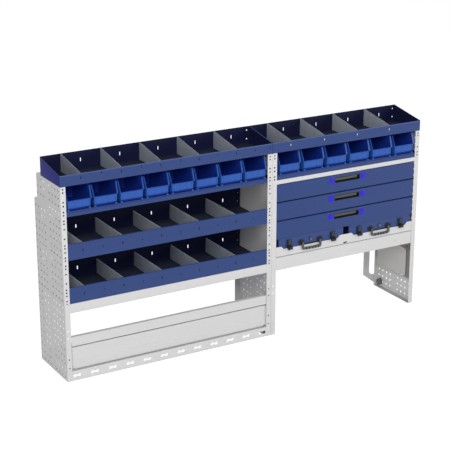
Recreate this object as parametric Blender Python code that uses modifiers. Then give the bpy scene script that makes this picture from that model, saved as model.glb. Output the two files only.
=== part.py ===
"""Van shelving unit: a wide module on a floor plinth and a narrower one on a leg.

Sizes are in metres. Pieces are placed from the outer left face (X), the front plane of the
uprights (Y, growing to the rear) and the floor (Z); one empty carries them all, so that the
origin lies under the middle of the unit.
"""

from math import asin, cos, pi, sin

import bmesh
import bpy
from mathutils import Matrix, Vector

# Sheet metal and fits
sheet = 0.002
seat_gap = 0.0003
slide_gap = 0.001
overrun = 0.010

# Uprights
left_width = 1.270
right_width = 1.016
depth = 0.358
upper_depth = 0.317
step_drop = 0.146
flange = 0.030
front_set = 0.0005
hole_radius = 0.0045
hole_sides = 5
hole_columns = (0.029, 0.109, 0.223, 0.303)
hole_rise = 0.120
flange_hole_radius = 0.0035

# Trays
tray_depth = 0.350
tray_lip = 0.089
tray_back = 0.130
tray_hem = 0.010
mid_tray_height = 0.683
low_tray_height = 0.442
top_tray_depth = 0.256
top_tray_lip = 0.060
top_tray_back = 0.102
left_bay = 0.2305
right_bay = 0.2243
right_bay_start = 0.0045
divider_fold = 0.010
divider_rise = 0.003
slot_width = 0.007
slot_length = 0.022
top_slot_drop = 0.0485
deep_slot_drop = 0.0735
end_hole_inset = 0.016
end_hole_pitch = 0.0505
top_hole_drop = 0.0225
deep_hole_drop = 0.0427
mark_width = 0.004
mark_length = 0.012
mark_drop = 0.022

# Bin shelves and bins
bin_space = 0.138
right_shelf_rise = 0.006
shelf_depth = 0.312
shelf_strip = 0.026
shelf_upstand = 0.025
shelf_return = 0.012
bin_side_gap = 0.0032
bin_taper = 0.0055
bin_depth = 0.235
bin_height = 0.125
bin_front_height = 0.058
bin_wall = 0.0025
bin_slope_run = 0.024
bin_set_back = 0.006
bin_corner = 0.008
bin_lip = 0.002
bin_lip_height = 0.009
left_bins = 8
right_bins = 6

# Beam, floor pan and flap of the left module
beam_height = 0.052
beam_return = 0.035
plinth_height = 0.057
plinth_return = 0.020
slot_pitch = 0.105
slot_count = 12
slot_eye_radius = 0.0095
slot_eye_spread = 0.030
slot_neck = 0.0055
rod_radius = 0.0025
rod_play = 0.0004
flap_height = 0.190
flap_strip_height = 0.053
flap_fold = 0.022
flap_crease = 0.0015
crease_shares = (0.38, 0.17)
curl_points = 10

# Support frame, drawers and cabinet of the right module
frame_height = 0.468
frame_front = 0.076
frame_rim = 0.030
rail_height = 0.025
rail_return = 0.030
drawer_pitch = 0.110
top_drawer_height = 0.1026
drawer_gap = 0.005
drawer_count = 3
drawer_side_gap = 0.004
drawer_front_depth = 0.016
drawer_box_depth = 0.320
drawer_box_height = 0.075
drawer_box_lift = 0.010
ledge_width = 0.012
ledge_height = 0.006
ledge_lift = 0.030
cabinet_back_gap = 0.006
handle_width = 0.172
handle_height = 0.033
handle_depth = 0.020
handle_wall = 0.003
handle_bar = 0.013
handle_drop = 0.015
disc_radius = 0.019
disc_height = 0.0015
disc_spread = 0.109

# Pull-out tray and portable cases
case_tray_depth = 0.338
case_tray_side = 0.015
lip_height = 0.046
tab_height = 0.062
end_tab = 0.036
mid_tab_top = 0.086
tab_slope = 0.012
case_width = 0.447
case_depth = 0.326
case_height = 0.105
case_headroom = 0.0035
case_spread = 0.483
case_corner = 0.010
case_parting = 0.068
case_groove = 0.002
case_set_back = 0.001
latch_width = 0.026
latch_height = 0.045
latch_depth = 0.009
latch_root = 0.020
latch_foot_radius = 0.007
latch_reach = 0.014
latch_spread = 0.149
latch_top = 0.092
lock_radius = 0.009
lock_length = 0.008
lock_recess = 0.003
lock_height = 0.073
lock_slot = 0.002
lock_sides = 16
carry_spread = 0.055
carry_drop = 0.040
carry_radius = 0.0045
carry_bend = 0.014
carry_height = 0.060
barrel_radius = 0.0065
barrel_length = 0.010
pin_radius = 0.003
pin_play = 0.0004
lug_width = 0.010
grip_radius = 0.0065
grip_rib = 0.005
grip_count = 6

# Leg
lining_front_height = 0.171
lining_back_height = 0.147
lining_corner = 0.030
cap_radius = 0.0155
cap_height = 0.016
cap_inset = 0.327
cap_rise = 0.035
strap_width = 0.044
strap_inset = 0.039
strap_foot = 0.055
strap_lift = 0.020
strap_rise = 0.082
strap_run = 0.081
strap_fillet = 0.028

# Places that follow from the sizes above
total_width = left_width + right_width
mid_x = left_width
left_clear = (flange + seat_gap, left_width - flange - seat_gap)
right_clear = (left_width + flange + seat_gap, total_width - flange - seat_gap)
left_inner = (sheet + seat_gap, left_width - sheet - 2 * seat_gap)
right_inner = (left_width + sheet + 2 * seat_gap, total_width - sheet - seat_gap)
cabinet_bottom = frame_height + 2 * seat_gap + sheet + case_height + case_headroom
rail_bottom = cabinet_bottom + (drawer_count - 1) * drawer_pitch + top_drawer_height + slide_gap
right_shelf_height = rail_bottom + rail_height + seat_gap + shelf_strip
left_shelf_height = right_shelf_height - right_shelf_rise
upright_height = left_shelf_height + bin_space
step_height = upright_height - step_drop
top_tray_floor = upright_height + seat_gap
left_bin_pitch = (left_clear[1] - left_clear[0]) / left_bins
right_bin_pitch = (right_clear[1] - right_clear[0]) / right_bins
bin_width = min(left_bin_pitch, right_bin_pitch) - bin_side_gap
bin_base_width = bin_width - 2 * bin_taper
rod_y = front_set + rod_radius + rod_play + sheet
rod_z = plinth_height + rod_radius + rod_play + sheet + slide_gap / 2
case_y = front_set + sheet + case_set_back
case_z = frame_height + 2 * seat_gap + sheet
case_middle = (right_clear[0] + right_clear[1]) / 2
case_centres = (case_middle - case_spread / 2, case_middle + case_spread / 2)
rear_reach = depth + seat_gap + sheet

colours = {
    "panel_grey": ((0.62, 0.62, 0.64), 0.45, 0.3),
    "tray_blue": ((0.045, 0.075, 0.21), 0.45, 0.2),
    "divider_grey": ((0.25, 0.26, 0.28), 0.4, 0.8),
    "bin_blue": ((0.04, 0.13, 0.50), 0.4, 0.0),
    "case_blue": ((0.045, 0.075, 0.21), 0.5, 0.0),
    "handle_black": ((0.02, 0.02, 0.02), 0.5, 0.0),
    "latch_grey": ((0.12, 0.12, 0.12), 0.4, 0.5),
    "lock_metal": ((0.45, 0.46, 0.48), 0.3, 1.0),
    "rod_steel": ((0.50, 0.50, 0.52), 0.3, 1.0),
}


def material(name):
    """Return the named material, made on its first use."""
    found = bpy.data.materials.get(name)
    if found:
        return found
    colour, roughness, metallic = colours[name]
    made = bpy.data.materials.new(name)
    made.use_nodes = True
    surface = made.node_tree.nodes["Principled BSDF"]
    surface.inputs["Base Color"].default_value = (*colour, 1.0)
    surface.inputs["Roughness"].default_value = roughness
    surface.inputs["Metallic"].default_value = metallic
    made.diffuse_color = (*colour, 1.0)
    return made


def start_scene():
    """Empty the scene; make the two collections and the empty that carries the unit."""
    for old in list(bpy.data.objects):
        bpy.data.objects.remove(old, do_unlink=True)
    for name in ("van_shelving_unit", "cutters"):
        made = bpy.data.collections.new(name)
        bpy.context.scene.collection.children.link(made)
    carrier = bpy.data.objects.new("unit_frame", None)
    bpy.data.collections["van_shelving_unit"].objects.link(carrier)
    front_y = (latch_reach - rear_reach) / 2
    carrier.location = (-total_width / 2, front_y, 0)
    return carrier


def put(name, mesh, paint=None, origin=(0, 0, 0)):
    """Make an object of a mesh given in the unit's places, with its origin at a chosen point."""
    made = bpy.data.objects.new(name, mesh)
    mesh.transform(Matrix.Translation(-Vector(origin)))
    made.location = origin
    made.parent = carrier
    if paint:
        mesh.materials.append(material(paint))
        bpy.data.collections["van_shelving_unit"].objects.link(made)
    else:
        made.hide_render = True
        made.display_type = "WIRE"
        bpy.data.collections["cutters"].objects.link(made)
    return made


def to_mesh(name, bm):
    mesh = bpy.data.meshes.new(name)
    bm.to_mesh(mesh)
    bm.free()
    return mesh


def add_box(bm, low, high):
    """Add a box between two corners to a bmesh and return its points."""
    low, high = Vector(low), Vector(high)
    size = high - low
    place = Matrix.Translation((low + high) / 2) @ Matrix.Diagonal((*size, 1))
    return bmesh.ops.create_cube(bm, size=1, matrix=place)["verts"]


def boxes(name, corners, paint=None, origin=(0, 0, 0)):
    """One object of one or more boxes, each a pair of corners."""
    bm = bmesh.new()
    for low, high in corners:
        add_box(bm, low, high)
    return put(name, to_mesh(name, bm), paint, origin)


def turned(axis):
    """Turn a shape that stands along Z to stand along the given axis."""
    return Vector((0, 0, 1)).rotation_difference(Vector(axis)).to_matrix().to_4x4()


def rods(name, centres, radius, length, axis, sides=12, paint=None, origin=(0, 0, 0)):
    """One object of one or more cylinders, each centred on its point."""
    bm = bmesh.new()
    for centre in centres:
        place = Matrix.Translation(centre) @ turned(axis)
        bmesh.ops.create_cone(bm, cap_ends=True, segments=sides, radius1=radius, radius2=radius,
                              depth=length, matrix=place)
    return put(name, to_mesh(name, bm), paint, origin)


def outline_face(bm, outline):
    """Close an outline into one flat face; return the face and its edges in order."""
    points = [bm.verts.new(point) for point in outline]
    edges = [bm.edges.new(pair) for pair in zip(points, points[1:] + points[:1])]
    made = bmesh.ops.contextual_create(bm, geom=edges)
    return made["faces"][0], edges


def prism(name, outline, direction, paint=None, origin=(0, 0, 0)):
    """Extrude a closed outline, given as points in space, along a direction."""
    bm = bmesh.new()
    outline_face(bm, outline)
    raised = bmesh.ops.extrude_face_region(bm, geom=bm.faces[:], use_keep_orig=True)
    moved = [item for item in raised["geom"] if isinstance(item, bmesh.types.BMVert)]
    bmesh.ops.translate(bm, verts=moved, vec=direction)
    bmesh.ops.recalc_face_normals(bm, faces=bm.faces[:])
    return put(name, to_mesh(name, bm), paint, origin)


def thicken(made, thickness=sheet):
    """Give an open surface its wall, on the inner side."""
    wall = made.modifiers.new("wall", "SOLIDIFY")
    wall.thickness = thickness
    wall.offset = -1
    wall.use_even_offset = True
    return made


def face_out(bm, known, outside):
    """Point the faces so that the known one looks along the given direction."""
    bmesh.ops.recalc_face_normals(bm, faces=bm.faces[:])
    known.normal_update()
    if known.normal.dot(Vector(outside)) < 0:
        bmesh.ops.reverse_faces(bm, faces=bm.faces[:])


def pan(name, outline, rim, paint=None, origin=(0, 0, 0), rims=None, thickness=sheet, reshape=None):
    """A flat outline whose edges fold up by the rim vector; rims picks the edges that do."""
    bm = bmesh.new()
    base, edges = outline_face(bm, outline)
    folded = edges if rims is None else [edges[i] for i in rims]
    raised = bmesh.ops.extrude_edge_only(bm, edges=folded)
    moved = [item for item in raised["geom"] if isinstance(item, bmesh.types.BMVert)]
    bmesh.ops.translate(bm, verts=moved, vec=rim)
    if reshape:
        reshape(bm)
    face_out(bm, base, -Vector(rim))
    return thicken(put(name, to_mesh(name, bm), paint, origin), thickness)


def strip(name, profile, start, end, outside, paint=None, origin=(0, 0, 0), thickness=sheet):
    """Sheet folded along X: profile is the (y, z) line of its outer face, whose first fold looks outside."""
    bm = bmesh.new()
    points = [bm.verts.new((start, y, z)) for y, z in profile]
    folds = [bm.edges.new(pair) for pair in zip(points, points[1:])]
    raised = bmesh.ops.extrude_edge_only(bm, edges=folds)
    moved = [item for item in raised["geom"] if isinstance(item, bmesh.types.BMVert)]
    bmesh.ops.translate(bm, verts=moved, vec=(end - start, 0, 0))
    face_out(bm, folds[0].link_faces[0], outside)
    return thicken(put(name, to_mesh(name, bm), paint, origin), thickness)


def combine(target, tool, operation):
    step = target.modifiers.new(tool.name, "BOOLEAN")
    step.operation = operation
    step.solver = "EXACT"
    step.object = tool
    return target


def cut(target, tool):
    return combine(target, tool, "DIFFERENCE")


def join(target, tool):
    return combine(target, tool, "UNION")


def soften(target, width, segments=1, angle=pi / 6):
    """Round the edges that turn more than the angle."""
    round_edges = target.modifiers.new("round_edges", "BEVEL")
    round_edges.width = width
    round_edges.segments = segments
    round_edges.limit_method = "ANGLE"
    round_edges.angle_limit = angle
    return target


def arc(centre, radius, first, last, count):
    """Points of an arc in a plane, from the first angle to the last."""
    step = (last - first) / count
    return [(centre[0] + radius * cos(first + step * i), centre[1] + radius * sin(first + step * i))
            for i in range(count + 1)]


def make_upright(name, face_x, inward):
    """A folded side panel with a stepped rear edge, perforated plate and front flange."""
    outline = [(0, 0), (depth, 0), (depth, step_height), (upper_depth, step_height),
               (upper_depth, upright_height), (0, upright_height)]
    panel = pan(name, [(face_x, y, z) for y, z in outline], (inward * flange, 0, 0), "panel_grey")
    rows = int(upright_height / hole_rise)
    heights = [hole_rise * (row + 0.5) for row in range(rows)]
    plate_holes = [(face_x, y, z) for z in heights for y in hole_columns
                   if z < step_height or y < upper_depth - flange]
    flange_holes = [(face_x + inward * flange / 2, 0, hole_rise * (row + 1)) for row in range(rows - 1)]
    cut(panel, rods(name + "_plate_holes", plate_holes, hole_radius, 2 * overrun, (1, 0, 0), hole_sides))
    cut(panel, rods(name + "_flange_holes", flange_holes, flange_hole_radius, 2 * overrun, (0, 1, 0),
                    hole_sides))
    return panel


def make_uprights():
    make_upright("left_upright", 0, 1)
    make_upright("centre_upright_left", mid_x - seat_gap / 2, -1)
    make_upright("centre_upright_right", mid_x + seat_gap / 2, 1)
    make_upright("right_upright", total_width, -1)


def notch_flanges(target, inner, clear, low, high):
    """Cut the front corners of a sheet that runs on behind the flanges of the uprights."""
    front = sheet + 2 * seat_gap
    cut(target, boxes(target.name + "_corners", [
        ((inner[0] - overrun, -overrun, low - overrun), (clear[0], front, high + overrun)),
        ((clear[1], -overrun, low - overrun), (inner[1] + overrun, front, high + overrun)),
    ]))


def bay_edges(start, bay, count):
    """Places of the dividers: the first bay is half as wide as the others."""
    return [start + bay * (i + 0.5) for i in range(count)]


left_dividers = bay_edges(0, left_bay, 5)
right_dividers = bay_edges(mid_x + right_bay_start, right_bay, 4)


def back_slots(name, dividers, bay, back_y, slot_z, hole_z, end_x):
    """Cutter for the slots in the middle of each full bay and the two holes at the end."""
    slots = []
    for x in dividers:
        middle = x + bay / 2
        slots.append(((middle - slot_width / 2, back_y - overrun, slot_z - slot_length / 2),
                      (middle + slot_width / 2, back_y + overrun, slot_z + slot_length / 2)))
    holes = [(end_x - end_hole_inset, back_y, z) for z in (hole_z, hole_z - end_hole_pitch)]
    return boxes(name + "_slots", slots), rods(name + "_end_holes", holes, hole_radius, 2 * overrun,
                                              (0, 1, 0), 6)


def divider_marks(name, dividers, top):
    """Cutter for the small openings where the divider tabs meet the front lip."""
    return boxes(name + "_marks", [
        ((x - mark_width / 2, -overrun, top - mark_drop - mark_length),
         (x + mark_width / 2, front_set + sheet / 2 + overrun / 4, top - mark_drop)) for x in dividers])


def make_top_tray(name, start, end, dividers, bay):
    """Open tray on top of the uprights: low front, higher back, sloped ends."""
    floor = top_tray_floor
    base = [(start, 0, floor), (end, 0, floor), (end, top_tray_depth, floor), (start, top_tray_depth, floor)]

    def raise_back(bm):
        for point in bm.verts:
            if point.co.y > top_tray_depth / 2 and point.co.z > floor + top_tray_lip / 2:
                point.co.z = floor + top_tray_back

    tray = pan(name, base, (0, 0, top_tray_lip), "tray_blue", reshape=raise_back)
    top = floor + top_tray_back
    slots, holes = back_slots(name, dividers, bay, top_tray_depth, top - top_slot_drop, top - top_hole_drop, end)
    cut(tray, slots)
    cut(tray, holes)
    cut(tray, divider_marks(name, dividers, floor + top_tray_lip))
    return tray


def make_top_divider(name, x):
    """A loose sheet divider with a folded foot."""
    front = sheet + slide_gap
    back = top_tray_depth - sheet - slide_gap
    floor = top_tray_floor + sheet + seat_gap
    slope = (top_tray_back - top_tray_lip) / top_tray_depth
    top = top_tray_floor + top_tray_lip + divider_rise
    outline = [(x, front, floor), (x, back, floor), (x, back, top + slope * back), (x, front, top + slope * front)]
    return pan(name, outline, (divider_fold, 0, 0), "divider_grey", rims=(0,))


def make_top_trays():
    make_top_tray("top_tray_left", 0, mid_x - seat_gap / 2, left_dividers, left_bay)
    make_top_tray("top_tray_right", mid_x + seat_gap / 2, total_width, right_dividers, right_bay)
    for number, x in enumerate(left_dividers, 1):
        make_top_divider(f"top_divider_left_{number}", x)
    for number, x in enumerate(right_dividers, 1):
        make_top_divider(f"top_divider_right_{number}", x)


def make_deep_tray(name, height):
    """Tray between the uprights of the left module, with its dividers."""
    start, end = left_inner
    back = front_set + tray_depth
    profile = [(front_set + tray_hem, height + tray_lip), (front_set, height + tray_lip), (front_set, height),
               (back, height), (back, height + tray_back)]
    tray = strip(name, profile, start, end, (0, 0, 1), "tray_blue")
    lower = height + sheet / 2
    upper = height + tray_lip - tray_hem / 2
    plates = []
    for x in left_dividers:
        plates.append(((x - sheet / 2, front_set + sheet / 2, lower), (x + sheet / 2, back - sheet / 2, upper)))
    join(tray, boxes(name + "_dividers", plates))
    notch_flanges(tray, left_inner, left_clear, height, height + tray_lip)
    top = height + tray_back
    slots, holes = back_slots(name, left_dividers, left_bay, back, top - deep_slot_drop, top - deep_hole_drop, end)
    cut(tray, slots)
    cut(tray, holes)
    middles = [x + left_bay / 2 for x in left_dividers]
    cut(tray, divider_marks(name, left_dividers + middles, height + tray_lip))
    return tray


def make_bin_shelf(name, inner, clear, height):
    """Shelf with a deep front strip folded down and a low upstand at the rear."""
    profile = [(front_set + shelf_return, height - shelf_strip), (front_set, height - shelf_strip),
               (front_set, height), (shelf_depth, height), (shelf_depth, height + shelf_upstand)]
    shelf = strip(name, profile, inner[0], inner[1], (0, 0, -1), "tray_blue")
    notch_flanges(shelf, inner, clear, height - shelf_strip, height)
    return shelf


def make_bin_mesh():
    """Open-front stacking bin: tapered shell, sloped sides, low front wall with a lip."""
    bm = bmesh.new()
    points = add_box(bm, (-bin_width / 2, 0, 0), (bin_width / 2, bin_depth, bin_height))
    for point in points:
        if point.co.z < bin_height / 2:
            point.co.x -= bin_taper if point.co.x > 0 else -bin_taper
    corners = [edge for edge in bm.edges if abs(edge.verts[0].co.z - edge.verts[1].co.z) > bin_height / 2]
    bmesh.ops.bevel(bm, geom=corners, offset=bin_corner, segments=1, affect="EDGES", offset_type="OFFSET")
    shell = put("bin_shell", to_mesh("bin_shell", bm))

    bm = bmesh.new()
    points = add_box(bm, (-bin_width / 2 + bin_wall, bin_wall, bin_wall),
                     (bin_width / 2 - bin_wall, bin_depth - bin_wall, bin_height + overrun))
    for point in points:
        if point.co.z < bin_height / 2:
            point.co.x -= bin_taper if point.co.x > 0 else -bin_taper
    cut(shell, put("bin_hollow", to_mesh("bin_hollow", bm)))

    reach = bin_width / 2 + overrun
    slope = [(-overrun, bin_front_height), (bin_wall + bin_lip, bin_front_height),
             (bin_slope_run, bin_height + overrun), (-overrun, bin_height + overrun)]
    cut(shell, prism("bin_slope", [(-reach, y, z) for y, z in slope], (2 * reach, 0, 0)))
    lip_reach = bin_base_width / 2 - bin_corner
    join(shell, boxes("bin_front_lip", [((-lip_reach, -bin_lip, bin_front_height - bin_lip_height),
                                         (lip_reach, bin_wall / 2, bin_front_height))]))
    bpy.context.view_layer.update()
    solid = shell.evaluated_get(bpy.context.evaluated_depsgraph_get())
    mesh = bpy.data.meshes.new_from_object(solid)
    mesh.name = "bin"
    mesh.materials.clear()
    mesh.materials.append(material("bin_blue"))
    for used in ("bin_shell", "bin_hollow", "bin_slope", "bin_front_lip"):
        bpy.data.objects.remove(bpy.data.objects[used], do_unlink=True)
    return mesh


def make_bins():
    mesh = make_bin_mesh()
    rows = (("bin_left", left_clear[0], left_bin_pitch, left_bins, left_shelf_height),
            ("bin_right", right_clear[0], right_bin_pitch, right_bins, right_shelf_height))
    for name, start, pitch, count, height in rows:
        for number in range(count):
            made = bpy.data.objects.new(f"{name}_{number + 1}", mesh)
            made.location = (start + pitch * (number + 0.5), bin_set_back, height + seat_gap)
            made.parent = carrier
            bpy.data.collections["van_shelving_unit"].objects.link(made)


def make_beam_left():
    """Channel under the low tray."""
    top = low_tray_height - seat_gap
    bottom = top - beam_height
    start, end = left_clear
    profile = [(front_set + beam_return, top), (front_set, top), (front_set, bottom),
               (front_set + beam_return, bottom)]
    strip("beam_left", profile, start, end, (0, 0, 1), "panel_grey")


def make_floor_pan():
    """Floor of the compartment, folded down at the front as the slotted plinth."""
    start, end = left_clear
    back = depth - sheet
    profile = [(front_set + plinth_return, 0), (front_set, 0), (front_set, plinth_height),
               (back, plinth_height), (back, 0), (back - plinth_return, 0)]
    floor = strip("floor_pan", profile, start, end, (0, 0, -1), "panel_grey")
    middle = (start + end) / 2
    first = middle - slot_pitch * (slot_count - 1) / 2
    neck_angle = asin(slot_neck / slot_eye_radius)
    for number in range(slot_count):
        x = first + slot_pitch * number
        half = slot_eye_spread / 2
        eye = slot_eye_radius
        right = arc((x + half, plinth_height / 2), eye, -pi + neck_angle, pi - neck_angle, 4)
        left = arc((x - half, plinth_height / 2), eye, neck_angle, 2 * pi - neck_angle, 4)
        outline = [(px, -overrun, pz) for px, pz in right + left]
        cut(floor, prism(f"plinth_slot_{number + 1}", outline, (0, 2 * overrun, 0)))


def make_flap():
    """Drop-down front of the floor compartment, curled round its hinge rod at the bottom."""
    start, end = left_clear[0] + slide_gap, left_clear[1] - slide_gap
    inner = rod_radius + rod_play
    outer = inner + sheet
    panel_y = rod_y + inner
    bottom = plinth_height + slide_gap
    top = bottom + flap_height + outer
    step = top - flap_strip_height
    curl = arc((rod_y, rod_z), inner, 0, -3 * pi / 2, curl_points)
    profile = [(front_set + flap_fold, top), (front_set, top), (front_set, step), (panel_y, step)]
    run = step - rod_z
    for share in crease_shares:
        z = rod_z + run * share
        profile += [(panel_y, z + 2 * flap_crease), (panel_y + flap_crease, z), (panel_y, z - 2 * flap_crease)]
    profile += curl
    strip("flap", profile, start, end, (0, 0, 1), "panel_grey", origin=(0, rod_y, rod_z))
    rod_start, rod_end = left_inner
    rods("flap_rod", [((rod_start + rod_end) / 2, rod_y, rod_z)], rod_radius, rod_end - rod_start, (1, 0, 0),
         10, "rod_steel", origin=(0, rod_y, rod_z))


def make_support_frame():
    """Deck under the pull-out tray, with a deep front beam."""
    start, end = right_clear
    base = [(start, front_set, frame_height), (end, front_set, frame_height), (end, depth, frame_height),
            (start, depth, frame_height)]

    def lift_rims(bm):
        for point in bm.verts:
            if point.co.z < frame_height - frame_rim and point.co.y > depth / 2:
                point.co.z = frame_height - frame_rim

    pan("support_frame", base, (0, 0, -frame_front), "panel_grey", reshape=lift_rims)


def make_top_rail():
    start, end = right_clear
    top = rail_bottom + rail_height
    profile = [(front_set + rail_return, top), (front_set, top), (front_set, rail_bottom),
               (front_set + rail_return, rail_bottom)]
    strip("top_rail", profile, start, end, (0, 0, 1), "panel_grey")


def drawer_slots():
    """Lowest and highest point of each drawer front, top drawer first."""
    low = cabinet_bottom
    spans = []
    for number in range(drawer_count):
        bottom = low + drawer_pitch * (drawer_count - 1 - number)
        height = top_drawer_height if number == 0 else drawer_pitch - drawer_gap
        spans.append((bottom, bottom + height))
    return spans


def make_cabinet():
    """Shell behind the drawer fronts, with a ledge on each side for each drawer."""
    start, end = right_clear
    front = front_set + drawer_front_depth + slide_gap
    back = front + drawer_box_depth + cabinet_back_gap
    top = rail_bottom - seat_gap
    wall = [(start, back, cabinet_bottom), (end, back, cabinet_bottom), (end, back, top), (start, back, top)]
    cabinet = pan("drawer_cabinet", wall, (0, front - back, 0), "tray_blue")
    ledges = []
    for bottom, _ in drawer_slots():
        z = bottom + ledge_lift
        for low_x, high_x in ((start + sheet / 2, start + sheet + ledge_width),
                              (end - sheet - ledge_width, end - sheet / 2)):
            ledges.append(((low_x, front, z - ledge_height), (high_x, back - sheet / 2, z)))
    join(cabinet, boxes("cabinet_ledges", ledges))


def make_drawer(name, bottom, top):
    """Folded front, open box and the side runners that ride on the cabinet's ledges."""
    start, end = right_clear[0] + drawer_side_gap, right_clear[1] - drawer_side_gap
    middle = (start + end) / 2
    face = [(start, front_set, bottom), (end, front_set, bottom), (end, front_set, top), (start, front_set, top)]
    drawer = pan(name, face, (0, drawer_front_depth, 0), "tray_blue", origin=(middle, front_set, bottom))

    side = right_clear[0] + sheet + ledge_width + slide_gap
    other = right_clear[1] - sheet - ledge_width - slide_gap
    box_front = front_set + sheet / 2
    box_back = front_set + drawer_front_depth + drawer_box_depth
    floor = bottom + drawer_box_lift
    base = [(side, box_front, floor), (other, box_front, floor), (other, box_back, floor), (side, box_back, floor)]
    join(drawer, pan(name + "_box", base, (0, 0, drawer_box_height)))

    runner = bottom + ledge_lift + seat_gap
    runner_front = front_set + drawer_front_depth + 2 * slide_gap
    reach = right_clear[0] + sheet + slide_gap
    far_reach = right_clear[1] - sheet - slide_gap
    join(drawer, boxes(name + "_runners", [
        ((reach, runner_front, runner), (side + sheet / 2, box_back, runner + ledge_height)),
        ((other - sheet / 2, runner_front, runner), (far_reach, box_back, runner + ledge_height)),
    ]))
    handle_top = top - handle_drop
    hole = handle_width / 2 + seat_gap
    cut(drawer, boxes(name + "_handle_hole", [
        ((middle - hole, -overrun, handle_top - handle_height - seat_gap),
         (middle + hole, 2 * overrun, handle_top + seat_gap))]))
    disc_z = handle_top - handle_height / 2
    discs = [(middle + turn * disc_spread, front_set, disc_z) for turn in (-1, 1)]
    join(drawer, rods(name + "_discs", discs, disc_radius, 2 * disc_height, (0, 1, 0), 16))
    make_drawer_handle(name.replace("drawer", "drawer_handle"), middle, handle_top)


def make_drawer_handle(name, middle, top):
    """Recessed grip: a cup with a bar across its upper half."""
    half = handle_width / 2
    body = boxes(name, [((middle - half, front_set, top - handle_height),
                         (middle + half, front_set + handle_depth, top))], "handle_black",
                 origin=(middle, front_set, top))
    low = top - handle_height
    inner = half - handle_wall
    back = front_set + handle_depth - handle_wall
    cup = [(-overrun, low + handle_wall), (back, low + handle_wall), (back, top - handle_wall),
           (front_set + handle_wall, top - handle_wall), (front_set + handle_wall, top - handle_bar),
           (-overrun, top - handle_bar - handle_wall)]
    cut(body, prism(name + "_cup", [(middle - inner, y, z) for y, z in cup], (2 * inner, 0, 0)))


def make_drawers():
    make_cabinet()
    for number, (bottom, top) in enumerate(drawer_slots(), 1):
        make_drawer(f"drawer_{number}", bottom, top)


def make_case_tray():
    """Pull-out tray with a notched lip that keeps the cases in."""
    start, end = right_clear[0] + slide_gap, right_clear[1] - slide_gap
    floor = frame_height + seat_gap
    back = front_set + case_tray_depth
    base = [(start, front_set, floor), (end, front_set, floor), (end, back, floor), (start, back, floor)]
    tray = pan("case_tray", base, (0, 0, case_tray_side), "panel_grey", origin=(case_middle, front_set, floor))
    low = floor + lip_height
    high = floor + tab_height
    outline = [(start, floor), (end, floor), (end, high), (end - end_tab, high),
               (end - end_tab - tab_slope, low), (case_middle + mid_tab_top / 2 + tab_slope, low),
               (case_middle + mid_tab_top / 2, high), (case_middle - mid_tab_top / 2, high),
               (case_middle - mid_tab_top / 2 - tab_slope, low), (start + end_tab + tab_slope, low),
               (start + end_tab, high), (start, high)]
    join(tray, prism("case_tray_lip", [(x, front_set, z) for x, z in outline], (0, sheet, 0)))


def make_case(name, centre):
    """Closed portable case: base and lid with a groove between, handle lugs and lock seat."""
    half = case_width / 2
    back = case_y + case_depth
    parting = case_z + case_parting
    top = case_z + case_height

    def shell_part(part, low, high, inset):
        bm = bmesh.new()
        add_box(bm, (centre - half + inset, case_y + inset, low), (centre + half - inset, back - inset, high))
        uprights = [edge for edge in bm.edges if abs(edge.verts[0].co.z - edge.verts[1].co.z) > sheet]
        bmesh.ops.bevel(bm, geom=uprights, offset=case_corner, segments=2, profile=0.5, affect="EDGES")
        return to_mesh(part, bm)

    case = put(name, shell_part(name, case_z, parting - case_groove / 2, 0), "case_blue",
               origin=(centre, case_y, case_z))
    join(case, put(name + "_core", shell_part(name + "_core", parting - 2 * case_groove,
                                              parting + 2 * case_groove, case_groove)))
    join(case, put(name + "_lid", shell_part(name + "_lid", parting + case_groove / 2, top, 0)))
    pivot_z = case_z + carry_height
    pivot_y = front_set - slide_gap - grip_radius
    lugs = []
    for turn in (-1, 1):
        inner = centre + turn * (carry_spread + barrel_length / 2 + seat_gap)
        outer = inner + turn * lug_width
        lugs.append(((min(inner, outer), pivot_y - barrel_radius, pivot_z - barrel_radius),
                     (max(inner, outer), case_y + 2 * case_groove, pivot_z + barrel_radius)))
    join(case, boxes(name + "_lugs", lugs))
    pin_hole = lug_width - sheet
    pins = [(centre + turn * (carry_spread + barrel_length / 2 + pin_hole / 2), pivot_y, pivot_z)
            for turn in (-1, 1)]
    cut(case, rods(name + "_pin_holes", pins, pin_radius + pin_play, pin_hole + sheet, (1, 0, 0), 12))
    cut(case, rods(name + "_lock_seat", [(centre, case_y, case_z + lock_height)],
                   lock_radius / cos(pi / lock_sides) + seat_gap, 2 * lock_recess, (0, 1, 0), lock_sides))
    make_carry_handle(name.replace("case", "case_handle"), centre, pivot_y, pivot_z)
    make_lock(name.replace("case", "case_lock"), centre, case_z + lock_height)


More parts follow.
